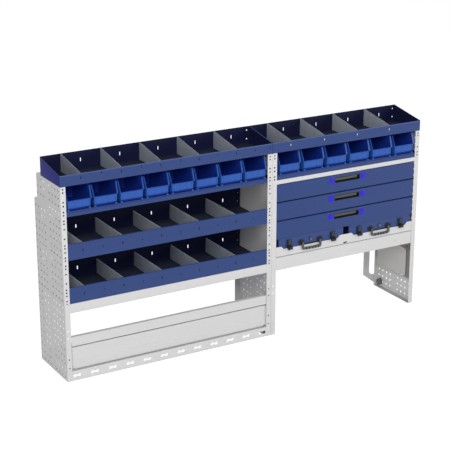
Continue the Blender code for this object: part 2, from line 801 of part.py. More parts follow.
def make_carry_handle(name, centre, pivot_y, pivot_z):
    """Hanging handle: bent bar, ribbed grip and pivot barrels with pins."""
    reach, drop, bend = carry_spread, carry_drop, carry_bend
    right = [(reach, 0), (reach, -drop + bend)]
    right += arc((reach - bend, -drop + bend), bend, 0, -pi / 2, 3)[1:]
    path = right + [(-x, z) for x, z in reversed(right)]
    curve = bpy.data.curves.new(name, "CURVE")
    curve.dimensions = "3D"
    curve.bevel_depth = carry_radius
    curve.bevel_resolution = 1
    curve.use_fill_caps = True
    line = curve.splines.new("POLY")
    line.points.add(len(path) - 1)
    for point, (x, z) in zip(line.points, path):
        point.co = (centre + x, pivot_y, pivot_z + z, 1)
    bar = bpy.data.objects.new(name + "_bar", curve)
    bpy.data.collections["cutters"].objects.link(bar)
    bpy.context.view_layer.update()
    mesh = bpy.data.meshes.new_from_object(bar.evaluated_get(bpy.context.evaluated_depsgraph_get()))
    bpy.data.objects.remove(bar, do_unlink=True)
    bm = bmesh.new()
    bm.from_mesh(mesh)
    bmesh.ops.remove_doubles(bm, verts=bm.verts[:], dist=seat_gap / 10)
    bm.to_mesh(mesh)
    bm.free()
    mesh.name = name
    handle = put(name, mesh, "handle_black", origin=(centre, pivot_y, pivot_z))
    ends = [(centre + turn * reach, pivot_y, pivot_z) for turn in (-1, 1)]
    join(handle, rods(name + "_barrels", ends, barrel_radius, barrel_length, (1, 0, 0), 12))
    pin_length = 2 * (lug_width - sheet) / 2 + barrel_length / 2
    pins = [(centre + turn * (reach + pin_length / 2), pivot_y, pivot_z) for turn in (-1, 1)]
    join(handle, rods(name + "_pins", pins, pin_radius, pin_length - 2 * seat_gap, (1, 0, 0), 12))
    pitch = 2 * (reach - bend) / grip_count
    ribs = [(centre + pitch * (i - (grip_count - 1) / 2), pivot_y, pivot_z - drop) for i in range(grip_count)]
    join(handle, rods(name + "_ribs", ribs, grip_radius, grip_rib * 2, (1, 0, 0), 8))


def make_lock(name, x, z):
    """Key barrel that turns in the lid."""
    front = case_y - lock_length + lock_recess
    back = case_y + lock_recess - seat_gap
    barrel = rods(name, [(x, (front + back) / 2, z)], lock_radius, back - front, (0, 1, 0), lock_sides,
                  "lock_metal",
                  origin=(x, case_y, z))
    cut(barrel, boxes(name + "_slot", [((x - lock_slot / 2, front - overrun, z - lock_radius / 2),
                                        (x + lock_slot / 2, front + lock_slot, z + lock_radius / 2))]))


def make_latch(name, x):
    """Draw latch: a plate that hangs from its upper edge and ends in a round foot."""
    top = case_z + latch_top
    back = case_y - seat_gap
    half = latch_width / 2
    side = [(back, top), (sheet - latch_depth, top), (-latch_depth, top - sheet),
            (-latch_depth, top - latch_height), (-front_set, top - latch_height),
            (-front_set, top - latch_root), (back, top - latch_root)]
    plate = prism(name, [(x - half, y, z) for y, z in side], (latch_width, 0, 0), "latch_grey",
                  origin=(x, back, top))
    foot = (x, latch_foot_radius - latch_reach, top - latch_height)
    join(plate, rods(name + "_foot", [foot], latch_foot_radius, latch_width - 2 * sheet, (1, 0, 0), 12))


def make_cases():
    make_case_tray()
    for name, centre in zip(("case_left", "case_right"), case_centres):
        make_case(name, centre)
    number = 0
    for centre in case_centres:
        for turn in (-1, 1):
            number += 1
            make_latch(f"case_latch_{number}", centre + turn * latch_spread)


def make_leg():
    """What the right module stands on at its free end: lining, cap and rear strap."""
    face_x = total_width - flange - seat_gap
    top = frame_height - frame_front - seat_gap
    front, back = sheet, depth - sheet
    corner = arc((front + lining_corner, top - lining_corner), lining_corner, pi, pi / 2, 4)
    outline = [(back, top), (back, lining_back_height), (front, lining_front_height)] + corner
    prism("leg_lining", [(face_x - sheet, y, z) for y, z in outline], (sheet, 0, 0), "panel_grey")

    plate_x = total_width - sheet - seat_gap
    cap = rods("leg_cap", [(plate_x - cap_height / 2, cap_inset, cap_rise)], cap_radius, cap_height, (1, 0, 0),
               16, "latch_grey", origin=(plate_x, cap_inset, cap_rise))
    soften(cap, sheet)

    inner = total_width - flange - strap_inset
    outer = inner - strap_width
    high = frame_height - sheet
    foot = strap_lift + strap_foot
    far = total_width - sheet
    fillet = arc((inner + strap_fillet, foot + strap_fillet), strap_fillet, pi, 3 * pi / 2, 4)
    outline = [(outer, high), (outer, strap_rise), (outer + strap_run, strap_lift), (far, strap_lift), (far, foot)]
    outline += list(reversed(fillet)) + [(inner, high)]
    prism("rear_strap", [(x, depth + seat_gap, z) for x, z in outline], (0, sheet, 0), "panel_grey")


carrier = start_scene()
make_uprights()
make_top_trays()
make_deep_tray("mid_tray", mid_tray_height)
make_deep_tray("low_tray", low_tray_height)
make_bin_shelf("bin_shelf_left", left_inner, left_clear, left_shelf_height)
make_bin_shelf("bin_shelf_right", right_inner, right_clear, right_shelf_height)
make_bins()
make_beam_left()
make_floor_pan()
make_flap()
make_support_frame()
make_top_rail()
make_drawers()
make_cases()
make_leg()
bpy.context.view_layer.update()
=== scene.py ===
from math import atan2, cos, hypot, pi, radians, sin

import bmesh
import bpy
from mathutils import Matrix, Vector


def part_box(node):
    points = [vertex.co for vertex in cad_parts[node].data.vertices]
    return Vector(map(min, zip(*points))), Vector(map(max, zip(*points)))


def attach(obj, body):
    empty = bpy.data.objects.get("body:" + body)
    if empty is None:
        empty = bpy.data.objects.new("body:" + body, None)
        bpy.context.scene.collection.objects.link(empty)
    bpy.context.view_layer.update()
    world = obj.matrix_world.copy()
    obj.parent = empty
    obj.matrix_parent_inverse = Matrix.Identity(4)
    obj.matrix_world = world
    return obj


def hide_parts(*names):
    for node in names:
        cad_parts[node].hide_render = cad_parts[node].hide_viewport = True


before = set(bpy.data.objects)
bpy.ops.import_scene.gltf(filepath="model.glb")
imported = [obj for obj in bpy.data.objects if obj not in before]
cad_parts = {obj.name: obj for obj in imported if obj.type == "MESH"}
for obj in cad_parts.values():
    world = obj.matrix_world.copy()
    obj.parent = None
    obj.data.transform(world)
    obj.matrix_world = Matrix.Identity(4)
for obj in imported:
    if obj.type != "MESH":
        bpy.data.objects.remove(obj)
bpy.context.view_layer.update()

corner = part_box("left_upright")[0]    # places below are counted from the unit's left front foot
overrun = 0.01                        # how far a cutter stands out of what it cuts
soft = 0.0004                         # the smallest rounding of an edge
sideways, forwards = (1, 0, 0), (0, 1, 0)


# camera

view = {"lens": 109.339, "sensor": 36.0, "turn": -29.8657, "lift": 18.7833,
        "place": (-3.7172, -6.3400, 3.1418), "reach": 60}


def placeCamera():
    turn, lift = radians(view["turn"]), radians(view["lift"])
    back = Vector((sin(turn) * cos(lift), -cos(turn) * cos(lift), sin(lift)))
    aim = (-back).to_track_quat("-Z", "Y").to_euler()
    bpy.ops.object.camera_add(location=view["place"], rotation=aim)
    camera = bpy.context.object
    camera.data.lens = view["lens"]
    camera.data.sensor_width = view["sensor"]
    camera.data.clip_end = view["reach"]
    bpy.context.scene.camera = camera


# modelling helpers

def only(*chosen):
    if bpy.context.object and bpy.context.object.mode != "OBJECT":
        bpy.ops.object.mode_set(mode="OBJECT")
    bpy.ops.object.select_all(action="DESELECT")
    for piece in chosen:
        piece.select_set(True)
    bpy.context.view_layer.objects.active = chosen[0] if chosen else None


def named(name):
    piece = bpy.context.object
    piece.name = name
    bpy.ops.object.transform_apply(location=True, rotation=True, scale=True)
    return piece


def block(name, start, end):
    only()
    low = Vector([min(pair) for pair in zip(start, end)])
    high = Vector([max(pair) for pair in zip(start, end)])
    bpy.ops.mesh.primitive_cube_add(size=1, location=(low + high) / 2, scale=high - low)
    return named(name)


def rod(name, centre, radius, length, axis, sides=24):
    only()
    lean = Vector((0, 0, 1)).rotation_difference(Vector(axis)).to_euler()
    bpy.ops.mesh.primitive_cylinder_add(vertices=sides, radius=radius, depth=length, location=centre,
                                        rotation=lean)
    return named(name)


def modify(piece, kind, **settings):
    step = piece.modifiers.new(kind.lower(), kind)
    for key, value in settings.items():
        setattr(step, key, value)
    only(piece)
    bpy.ops.object.modifier_apply(modifier=step.name)
    return piece


def rounded(piece, width, segments=2, angle=30):
    return modify(piece, "BEVEL", width=width, segments=segments, limit_method="ANGLE",
                  angle_limit=radians(angle))


def combined(piece, operation, others):
    for other in others:
        modify(piece, "BOOLEAN", operation=operation, solver="EXACT", object=other)
        bpy.data.objects.remove(other, do_unlink=True)
    return piece


def drilled(piece, *cutters):
    return combined(piece, "DIFFERENCE", cutters)


def merged(piece, *others):
    return combined(piece, "UNION", others)


def gathered(name, pieces):
    only(*pieces)
    bpy.ops.object.join()
    piece = bpy.context.object
    piece.name = name
    return piece


def repeated(piece, count, step):
    return modify(piece, "ARRAY", count=count, use_relative_offset=False, use_constant_offset=True,
                  constant_offset_displace=step)


def copied(piece, name, shift):
    twin = piece.copy()
    twin.data = piece.data.copy()
    twin.name = name
    bpy.context.scene.collection.objects.link(twin)
    twin.data.transform(Matrix.Translation(shift))
    return twin


def choose(piece, kind, test=lambda part: True):
    # opens edit mode with the chosen faces, edges or points selected
    only(piece)
    bpy.ops.object.mode_set(mode="EDIT")
    bpy.ops.mesh.select_mode(type=kind)
    bpy.ops.mesh.select_all(action="DESELECT")
    bm = bmesh.from_edit_mesh(piece.data)
    parts = {"FACE": bm.faces, "EDGE": bm.edges, "VERT": bm.verts}[kind]
    parts.ensure_lookup_table()
    for part in parts:
        if test(part):
            part.select_set(True)
    bm.select_flush_mode()
    bmesh.update_edit_mesh(piece.data)


def done():
    bpy.ops.object.mode_set(mode="OBJECT")


def lengthOf(edge, axis):
    return abs(getattr(edge.verts[0].co - edge.verts[1].co, axis))


def bevelled(piece, test, size, segments):
    choose(piece, "EDGE", test)
    bpy.ops.mesh.bevel(offset=size, segments=segments, affect="EDGES")
    done()
    return piece


def pushed(piece, test, shift):
    choose(piece, "VERT", test)
    bpy.ops.transform.translate(value=shift)
    done()


def sliced(piece, place, normal, clear=False):
    choose(piece, "FACE")
    bpy.ops.mesh.bisect(plane_co=place, plane_no=normal, clear_outer=clear)
    done()


def aligned(piece):
    choose(piece, "FACE")
    bpy.ops.mesh.normals_make_consistent(inside=False)
    done()


def turnedOver(piece):
    choose(piece, "FACE")
    bpy.ops.mesh.flip_normals()
    done()


def shaped(name, outline, direction=None):
    # a filled outline, pulled along the direction if there is one
    only()
    bpy.ops.mesh.primitive_circle_add(vertices=len(outline), radius=1, fill_type="NGON")
    piece = named(name)
    for point, place in zip(piece.data.vertices, outline):
        point.co = place
    if direction:
        choose(piece, "FACE")
        bpy.ops.mesh.extrude_region_move(TRANSFORM_OT_translate={"value": direction})
        aligned(piece)
    return piece


def faceOut(piece, outward):
    aligned(piece)
    outward = Vector(outward)
    lean = sum(face.area * face.normal.dot(outward) for face in piece.data.polygons
               if abs(face.normal.dot(outward)) > 0.9)
    if lean < 0:
        turnedOver(piece)


def walled(piece, outward, wall=0.002, bend=0.0, paints=(), segments=3, angle=20):
    # gives sheet its thickness, inwards from the outline
    faceOut(piece, outward)
    for paint in paints:
        piece.data.materials.append(paint)
    if bend:
        rounded(piece, bend, segments, angle)
    return modify(piece, "SOLIDIFY", thickness=wall, offset=-1, use_even_offset=True,
                  material_offset=1 if len(paints) > 1 else 0)


def folded(name, line, start, end):
    # sheet bent along X: the first leg is a plane, each further leg is pulled out of its last edge
    (y, z), (nextY, nextZ) = line[:2]
    only()
    bpy.ops.mesh.primitive_plane_add(size=1, rotation=(atan2(nextZ - z, nextY - y), 0, 0),
                                     location=((start + end) / 2, (y + nextY) / 2, (z + nextZ) / 2))
    bpy.context.object.scale = (end - start, hypot(nextY - y, nextZ - z), 1)
    piece = named(name)
    choose(piece, "EDGE", lambda edge: all(abs(point.co.y - nextY) + abs(point.co.z - nextZ) < 1e-5
                                           for point in edge.verts))
    for (y, z), (nextY, nextZ) in zip(line[1:], line[2:]):
        bpy.ops.mesh.extrude_edges_move(TRANSFORM_OT_translate={"value": (0, nextY - y, nextZ - z)})
    done()
    return piece


def rimmed(name, outline, rim, test=lambda edge: True):
    # a flat outline whose chosen edges are folded along the rim
    piece = shaped(name, outline)
    choose(piece, "EDGE", test)
    bpy.ops.mesh.extrude_edges_move(TRANSFORM_OT_translate={"value": rim})
    done()
    return piece


def painted(piece, *paints):
    piece.data.materials.clear()
    for paint in paints:
        piece.data.materials.append(paint)
    return piece


def repaint(piece, index, test):
    for face in piece.data.polygons:
        if test(face):
            face.material_index = index


def settle(piece, body, slotName, *nodes, paint=None, smooth=32):
    if paint:
        painted(piece, paint)
    piece.data.transform(Matrix.Translation(corner))
    only(piece)
    bpy.ops.object.shade_smooth_by_angle(angle=radians(smooth))
    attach(piece, body)
    if nodes:
        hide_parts(*nodes)


def paintNode(node, paint):
    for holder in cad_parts[node].material_slots:
        holder.material = paint


def span(node):
    low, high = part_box(node)
    return low - corner, high - corner


def arc(centre, radius, first, last, count):
    step = (last - first) / count
    return [(centre[0] + radius * cos(first + step * i), centre[1] + radius * sin(first + step * i))
            for i in range(count + 1)]


# finishes

class Signal:
    # what a node's socket carries, which can be reckoned with where it is a number
    def __init__(self, graph, socket):
        self.graph, self.socket = graph, socket

    def reckon(self, operation, other):
        return self.graph.node("ShaderNodeMath", {"operation": operation}, {0: self, 1: other})

    def __add__(self, other):
        return self.reckon("ADD", other)

    def __mul__(self, other):
        return self.reckon("MULTIPLY", other)

    __radd__, __rmul__ = __add__, __mul__


class Graph:
    # the nodes of a material or of the world
    def __init__(self, owner):
        owner.use_nodes = True
        self.tree = owner.node_tree
        self.nodes = self.tree.nodes

    def node(self, kind, settings=None, sockets=None, result=0):
        made = self.nodes.new(kind)
        for key, value in (settings or {}).items():
            setattr(made, key, value)
        for key, value in (sockets or {}).items():
            self.feed(made.inputs[key], value)
        return Signal(self, made.outputs[result])

    def feed(self, socket, value):
        if isinstance(value, Signal):
            self.tree.links.new(value.socket, socket)
        else:
            socket.default_value = value


class Finish(Graph):
    # a material built around one Principled surface
    def __init__(self, name, colour, roughness, metallic=0.0, shine=0.5):
        self.material = bpy.data.materials.new(name)
        super().__init__(self.material)
        self.surface = self.nodes["Principled BSDF"]
        self.place = None
        self.set("Base Color", (*colour, 1))
        self.set("Roughness", roughness)
        self.set("Metallic", metallic)
        self.set("Specular IOR Level", shine)
        self.material.diffuse_color = (*colour, 1)

    def set(self, name, value):
        self.feed(self.surface.inputs[name], value)

    def object(self):
        if self.place is None:
            self.place = self.node("ShaderNodeTexCoord", result="Object")
        return self.place

    def noise(self, scale, detail=3.0, roughness=0.5, place=None):
        sockets = {"Vector": place or self.object(), "Scale": scale, "Detail": detail, "Roughness": roughness}
        return self.node("ShaderNodeTexNoise", None, sockets)

    def colourFrom(self, share, colour, spread):
        # from a darker to a lighter shade of the colour
        dark, light = (tuple(min(1, part * side) for part in colour) for side in (1 - spread, 1 + spread))
        sockets = {"Factor": share, 6: (*dark, 1), 7: (*light, 1)}
        self.set("Base Color", self.node("ShaderNodeMix", {"data_type": "RGBA"}, sockets, result=2))

    def bumpFrom(self, height, strength, distance):
        sockets = {"Height": height, "Strength": strength, "Distance": distance}
        self.set("Normal", self.node("ShaderNodeBump", None, sockets))


def srgb(red, green, blue):
    # a colour as the eye reads it on a screen, 0 to 255, as the linear one that a shader takes
    return tuple(((part / 255 + 0.055) / 1.055) ** 2.4 for part in (red, green, blue))


def powderCoat(name, colour, roughness=0.42, spread=0.06, shine=0.25):
    # satin powder coat: a fine orange peel, faint clouds and handling marks
    coat = Finish(name, colour, roughness, shine=shine)
    clouds = coat.noise(5.0, 4.0)
    marks = coat.noise(38.0, 6.0, 0.65)
    coat.colourFrom(clouds * 0.7 + marks * 0.3, colour, spread)
    coat.set("Roughness", coat.noise(60.0, 5.0, 0.6) * 0.18 + (roughness - 0.09))
    coat.bumpFrom(coat.noise(950.0, 2.0), 0.16, 0.0004)
    return coat.material


def sheetZinc(name, colour):
    # galvanised sheet: flat spangles of slightly different greys and shine
    zinc = Finish(name, colour, 0.45, 0.1)
    spangle = zinc.node("ShaderNodeTexVoronoi", {"feature": "F1"},
                        {"Vector": zinc.object(), "Scale": 95.0, "Randomness": 1.0}, result="Color")
    grain = zinc.node("ShaderNodeSeparateColor", None, {0: spangle})
    clouds = zinc.noise(7.0, 4.0)
    zinc.colourFrom(grain * 0.55 + clouds * 0.45, colour, 0.14)
    zinc.set("Roughness", grain * 0.16 + 0.36)
    zinc.bumpFrom(zinc.noise(420.0, 3.0), 0.08, 0.0003)
    return zinc.material


def moulded(name, colour, roughness=0.38, grain=1500.0, strength=0.14, spread=0.05, shine=0.3):
    # injection-moulded plastic: fine spark-eroded grain, faint flow marks
    plastic = Finish(name, colour, roughness, shine=shine)
    plastic.colourFrom(plastic.noise(16.0, 3.0), colour, spread)
    plastic.set("Roughness", plastic.noise(90.0, 4.0) * 0.14 + (roughness - 0.07))
    plastic.bumpFrom(plastic.noise(grain, 2.0), strength, 0.0003)
    return plastic.material


def bareMetal(name, colour, roughness, stretch=(1, 1, 1)):
    metal = Finish(name, colour, roughness, 1.0)
    along = metal.node("ShaderNodeMapping", {"vector_type": "POINT"},
                       {"Vector": metal.object(), "Scale": stretch})
    lines = metal.noise(260.0, 3.0, 0.6, along)
    metal.set("Roughness", lines * 0.2 + (roughness - 0.1))
    metal.bumpFrom(lines, 0.1, 0.0002)
    return metal.material


panelGrey = powderCoat("panelGrey", srgb(214, 213, 213), 0.5, 0.03)
# painted shade: a darker copy of the panel grey for the leg lining
liningShadeGrey = powderCoat("liningShadeGrey", srgb(197, 196, 194), 0.5, 0.03)
trayBlue = powderCoat("trayBlue", srgb(47, 68, 123))
# painted shade: a dark navy for the insides of the trays and bin shelves, and for the drawer cabinet
trayInsideShade = powderCoat("trayInsideShade", srgb(17, 22, 58), 0.5)
# the dark floor colour, deepened as painted shade; it also paints the shade in the bottoms of the stamped
# marks
trayFloorAndShade = powderCoat("trayFloorAndShade", srgb(25, 31, 46), 0.6)
# a lighter floor colour for the deep trays, with the reflection and shade on their floors painted into it
deepFloorAndLight = powderCoat("deepFloorAndLight", srgb(36, 43, 62), 0.6)
# painted shade: a darker, less shiny copy of the tray blue for the top trays' left end walls
trayEndShade = powderCoat("trayEndShade", srgb(39, 45, 126), 0.55, shine=0.08)
# painted highlight: a lighter blue for a band along the top of the top trays' fronts
trayEdgeHighlight = powderCoat("trayEdgeHighlight", srgb(72, 91, 146))
legShade = powderCoat("legShade", srgb(132, 130, 128), 0.6, 0.03)
# painted shade in the groove under the flap's top strip
grooveShade = powderCoat("grooveShade", srgb(190, 189, 186), 0.6, 0.03)
# painted shade: a dark grey for the gusset under the support frame
gussetShade = powderCoat("gussetShade", srgb(92, 91, 88), 0.6, 0.03)
# painted shade on the top of the right upright's bottom flange
footShade = powderCoat("footShade", srgb(178, 175, 175), 0.6, 0.03)
capGrey = moulded("capGrey", srgb(100, 98, 101), 0.5)
dividerGrey = sheetZinc("dividerGrey", srgb(164, 171, 182))
binBlue = moulded("binBlue", srgb(38, 87, 172), 0.34)
# painted shade: a darker copy of the bin blue for the bins' insides and the recess under their fronts
binInsideShade = moulded("binInsideShade", srgb(30, 59, 162), 0.4)
caseBlue = moulded("caseBlue", srgb(49, 70, 126), 0.42, 1300.0, 0.2)
caseShade = moulded("caseShade", srgb(18, 24, 56), 0.5)
handleOlive = moulded("handleOlive", srgb(86, 88, 82), 0.42)
handleGrey = moulded("handleGrey", srgb(84, 90, 92), 0.4)
handleBlack = moulded("handleBlack", srgb(30, 31, 34), 0.45)
latchGrey = moulded("latchGrey", srgb(62, 70, 76), 0.36)
discBlue = moulded("discBlue", srgb(44, 24, 206), 0.3, 1500.0, 0.05)
lockChrome = bareMetal("lockChrome", (0.17, 0.21, 0.27), 0.32)
screwZinc = bareMetal("screwZinc", (0.78, 0.80, 0.86), 0.3)
rodSteel = bareMetal("rodSteel", (0.45, 0.46, 0.48), 0.34, (0.05, 1, 1))
print("finishes made")


# uprights

upright = {"flange": 0.030, "depth": 0.358, "upperDepth": 0.317, "height": 1.086, "step": 0.940,
           "bend": 0.003, "hole": 0.0063, "lowHole": 0.0054, "sides": 12, "cutter": 0.012,
           "columns": 4, "narrowColumns": 3, "rows": 27, "topRow": 24, "topRows": 3, "lowRows": 9,
           "joint": (0.4545, 0.4560), "jointDepth": 0.0008, "jointInset": 0.006, "footEdge": 0.004,
           "flangeHole": 0.0048, "column": 0.015, "lowColumn": 0.012, "rightColumn": 0.0138,
           "flangeHeights": (0.076, 0.127, 0.249, 0.290, 0.444, 0.461, 0.490, 0.508, 0.525, 0.560, 0.612,
                             0.641, 0.658, 0.687, 0.703, 0.732, 0.754, 0.770, 0.806, 0.858, 0.888, 0.904,
                             0.934, 0.951, 0.983, 1.004, 1.056, 1.073),
           "upperFrom": 0.93, "lowHeights": (0.257, 0.3006),
           "rightHeights": (0.939, 0.958, 0.988, 1.057, 1.071)}
leftHoles = {"front": 0.029, "rear": 0.223, "first": 0.020, "rearRows": 23, "pitch": 0.040}
rightHoles = {"front": 0.0365, "rear": 0.227, "first": 0.033, "rearRows": 24, "pitch": 0.0385}
screw = {"x": 2.2828, "radius": 0.0050, "height": 0.0030, "edge": 0.0008,
         "places": ((0.0545, 0.953), (0.060, 1.065))}


def holeGrid(faceX, start, columns, low, rows, pitch, radius=upright["hole"]):
    holes = rod("holes", (faceX, start, low), radius, upright["cutter"], sideways, upright["sides"])
    repeated(holes, columns, (0, pitch, 0))
    return repeated(holes, rows, (0, 0, pitch))


def holeGrids(front, rear, first, rearRows, pitch):
    # full height in front, and a narrower group above the rear one, where the edge steps in
    columns, top = upright["columns"], first + upright["topRow"] * pitch
    return [(front, columns, first, upright["rows"], pitch), (rear, columns, first, rearRows, pitch),
            (rear, upright["narrowColumns"], top, upright["topRows"], pitch)]


def flangeHoles(x, heights):
    return gathered("flangeHoles", [rod("pin", (x, 0, z), upright["flangeHole"], upright["cutter"], forwards,
                                        upright["sides"]) for z in heights])


def makeUpright(name, node, inward, grids, columns, jointLine=False):
    faceX = span(node)[0 if inward > 0 else 1].x
    depth, upper, height, step = (upright[key] for key in ("depth", "upperDepth", "height", "step"))
    outline = [(0, 0), (depth, 0), (depth, step), (upper, step), (upper, height), (0, height)]
    panel = rimmed(name, [(faceX, y, z) for y, z in outline], (inward * upright["flange"], 0, 0))
    walled(panel, (-inward, 0, 0), bend=upright["bend"])
    for grid in grids:
        drilled(panel, holeGrid(faceX, *grid))
    for shift, heights in columns:
        drilled(panel, flangeHoles(faceX + inward * shift, heights))
    if jointLine:
        (low, high), deep, inset = upright["joint"], upright["jointDepth"], upright["jointInset"]
        drilled(panel, block("line", (faceX - deep, inset, low), (faceX + deep, depth - inset, high)))
    painted(panel, panelGrey, footShade)
    # painted shade on the top of the bottom flange
    if node == "right_upright":
        repaint(panel, 1, lambda face: face.normal.z > 0.9 and face.center.z < upright["footEdge"])
    settle(panel, "frame", "panel_grey", node)


def makeUprights():
    column, heights = upright["column"], upright["flangeHeights"]
    below = [(leftHoles[place], upright["columns"], leftHoles["first"], upright["lowRows"],
              leftHoles["pitch"], upright["lowHole"]) for place in ("front", "rear")]
    high = [z for z in heights if z > upright["upperFrom"]]
    makeUpright("side_panel_left", "left_upright", 1, holeGrids(**leftHoles), [(column, heights)], True)
    makeUpright("side_panel_centre_left", "centre_upright_left", -1, below, [(column, heights)])
    makeUpright("side_panel_centre_right", "centre_upright_right", 1, below,
                [(column, high), (upright["lowColumn"], upright["lowHeights"])])
    makeUpright("side_panel_right", "right_upright", -1, holeGrids(**rightHoles),
                [(upright["rightColumn"], upright["rightHeights"])], True)
    heads = [rod("head", (screw["x"], y, z), screw["radius"], screw["height"], sideways, 20)
             for y, z in screw["places"]]
    screws = rounded(gathered("shelf_screws", heads), screw["edge"], 2, 50)
    settle(screws, "frame", "panel_grey", paint=screwZinc)
    print("uprights made")


# trays

tray = {"bend": 0.003, "deepBend": 0.0028, "topDepth": 0.256, "topLip": 0.060, "topBack": 0.102,
        "lip": 0.089, "back": 0.130, "hem": 0.010, "hemDrop": 0.006, "hemBand": 0.03, "edge": 0.005,
        "slotWidth": 0.0052, "slotLength": 0.020, "deepSlotWidth": 0.0068, "topSlot": 0.0485,
        "deepSlot": 0.0735, "hole": 0.0038, "topHole": 0.0225, "deepHole": 0.0427, "holePitch": 0.0505,
        "endInset": 0.016, "flangeRoom": 0.0303, "flangeDepth": 0.0026}
mark = {"width": 0.007, "length": 0.013, "drop": 0.018, "shift": 0.002, "depth": 0.0012,
        "endPlaces": (1.157, 1.252), "fineWidth": 0.0040, "fineShift": 0.003, "fineRise": 0.0125,
        "fineLength": 0.017, "deepDrop": 0.016, "deepLength": 0.015, "deepFineDrop": 0.018}
moduleEnds = {"left": (0.0, 1.270), "right": (1.270, 2.286)}
leftBay, rightBay, rightStart = 0.2305, 0.2243, 1.2745
leftDividers = [leftBay * (i + 0.5) for i in range(5)]
rightDividers = [rightStart + rightBay * (i + 0.5) for i in range(4)]


def slotCutter(x, y, z, width, length):
    slot = block("slot", (x - width / 2, y - overrun, z - length / 2),
                 (x + width / 2, y + overrun, z + length / 2))
    return bevelled(slot, lambda edge: lengthOf(edge, "y") > overrun, min(width, length) * 0.49, 4)


def backHoles(dividers, bay, y, slotZ, holeZ, end, width=tray["slotWidth"]):
    slots = [slotCutter(x + bay / 2, y, slotZ, width, tray["slotLength"]) for x in dividers]
    holes = [rod("hole", (end - tray["endInset"], y, z), tray["hole"], 2 * overrun, forwards, 16)
             for z in (holeZ, holeZ - tray["holePitch"])]
    return gathered("backHoles", slots + holes)


def frontMarks(places, top, length=mark["length"], width=mark["width"]):
    start = top - mark["drop"]
    return gathered("marks", [block("mark", (x - width / 2, -overrun, start - length),
                                    (x + width / 2, mark["depth"], start)) for x in places])


def flangeNotches(module, low, high, top):
    # room for the uprights' flanges at both ends of a tray
    start, end = moduleEnds[module]
    room, deep = tray["flangeRoom"], tray["flangeDepth"]
    return [block("notch", (low.x - overrun, -overrun, low.z - overrun), (start + room, deep, top)),
            block("notch", (end - room, -overrun, low.z - overrun), (high.x + overrun, deep, top))]


def darkMarks(piece, index):
    # the bottoms of the stamped marks are in shade
    repaint(piece, index,
            lambda face: face.normal.y < -0.9 and abs(face.center.y - mark["depth"]) < 0.0002)


def makeTopTray(name, node, dividers, bay, places, finePlaces=()):
    low, high = span(node)
    floor, depth, lip, back = low.z, tray["topDepth"], tray["topLip"], tray["topBack"]
    corners = [(low.x, low.y), (high.x, low.y), (high.x, depth), (low.x, depth)]
    pan = rimmed(name, [(x, y, floor) for x, y in corners], (0, 0, lip))
    pushed(pan, lambda point: point.co.y > depth / 2 and point.co.z > floor + 0.01, (0, 0, back - lip))
    # the inner side of the sheet takes painted shade
    walled(pan, (0, 0, -1), bend=tray["bend"], paints=(trayBlue, trayInsideShade, trayFloorAndShade, trayEndShade, trayEdgeHighlight))
    slotZ, holeZ = floor + back - tray["topSlot"], floor + back - tray["topHole"]
    drilled(pan, backHoles(dividers, bay, depth, slotZ, holeZ, high.x),
            frontMarks([x + mark["shift"] for x in places], floor + lip))
    if finePlaces:
        drilled(pan, frontMarks([x + mark["fineShift"] for x in finePlaces], floor + lip + mark["fineRise"],
                                mark["fineLength"], mark["fineWidth"]))
    darkMarks(pan, 2)
    # painted highlight: a band along the top of the front is sliced off and painted lighter
    edge = floor + lip - tray["edge"]
    sliced(pan, (0, 0, edge), (0, 0, 1))
    repaint(pan, 4, lambda face: face.center.y < low.y + 0.003 and face.center.z > edge
            and face.normal.y < 0.5)
    # the floor faces take the dark floor colour with its painted shade
    repaint(pan, 2, lambda face: face.normal.z > 0.9 and face.center.z < floor + 0.01)
    # painted shade on the left end wall
    repaint(pan, 3, lambda face: face.normal.x < -0.9 and face.center.x < low.x + 0.001)
    settle(rounded(pan, soft, 1, 60), "frame", "tray_blue", node)


divider = {"wall": 0.0015, "fold": 0.005, "bend": 0.002, "lift": 0.0023, "proud": 0.003, "inset": 0.003,
           "drop": 0.0015}


def makeTopDivider(name, node):
    low, high = span(node)
    slope = (tray["topBack"] - tray["topLip"]) / tray["topDepth"]
    top = low.z - divider["lift"] + tray["topLip"] + divider["proud"]
    side = [(low.y, low.z), (high.y, low.z), (high.y, top + slope * high.y), (low.y, top + slope * low.y)]
    plate = rimmed(name, [(low.x, y, z) for y, z in side], (2 * divider["fold"], 0, 0),
                   lambda edge: max(point.co.z for point in edge.verts) < low.z + 0.001)
    walled(plate, (-1, 0, 0), wall=divider["wall"], bend=divider["bend"])
    settle(plate, "frame", "divider_grey", node, paint=dividerGrey)


tab = {"half": 0.0020, "front": -0.0012, "back": 0.003, "low": 1.1165, "top": 1.1275}


def makeTopTrays():
    middles = [x + leftBay / 2 for x in leftDividers[:4]]
    makeTopTray("top_pan_left", "top_tray_left", leftDividers, leftBay,
                [*leftDividers, *mark["endPlaces"]], middles)
    makeTopTray("top_pan_right", "top_tray_right", rightDividers, rightBay, rightDividers)
    for side, dividers in (("left", leftDividers), ("right", rightDividers)):
        for number in range(1, len(dividers) + 1):
            makeTopDivider(f"top_sheet_{side}_{number}", f"top_divider_{side}_{number}")
    tabs = [block("tab", (x + mark["shift"] - tab["half"], tab["front"], tab["low"]),
                  (x + mark["shift"] + tab["half"], tab["back"], tab["top"])) for x in rightDividers]
    settle(rounded(gathered("top_tabs_right", tabs), soft, 1), "frame", "divider_grey", paint=panelGrey)


def deepDivider(x, front, back, floor, top):
    # flat sheet with a foot and a top edge folded over
    side = [(front, floor), (back, floor), (back, top), (front, top)]
    plate = rimmed("plate", [(x, y, z) for y, z in side], (divider["fold"], 0, 0),
                   lambda edge: lengthOf(edge, "y") > 0.1)
    return walled(plate, (-1, 0, 0), wall=divider["wall"], bend=divider["bend"])


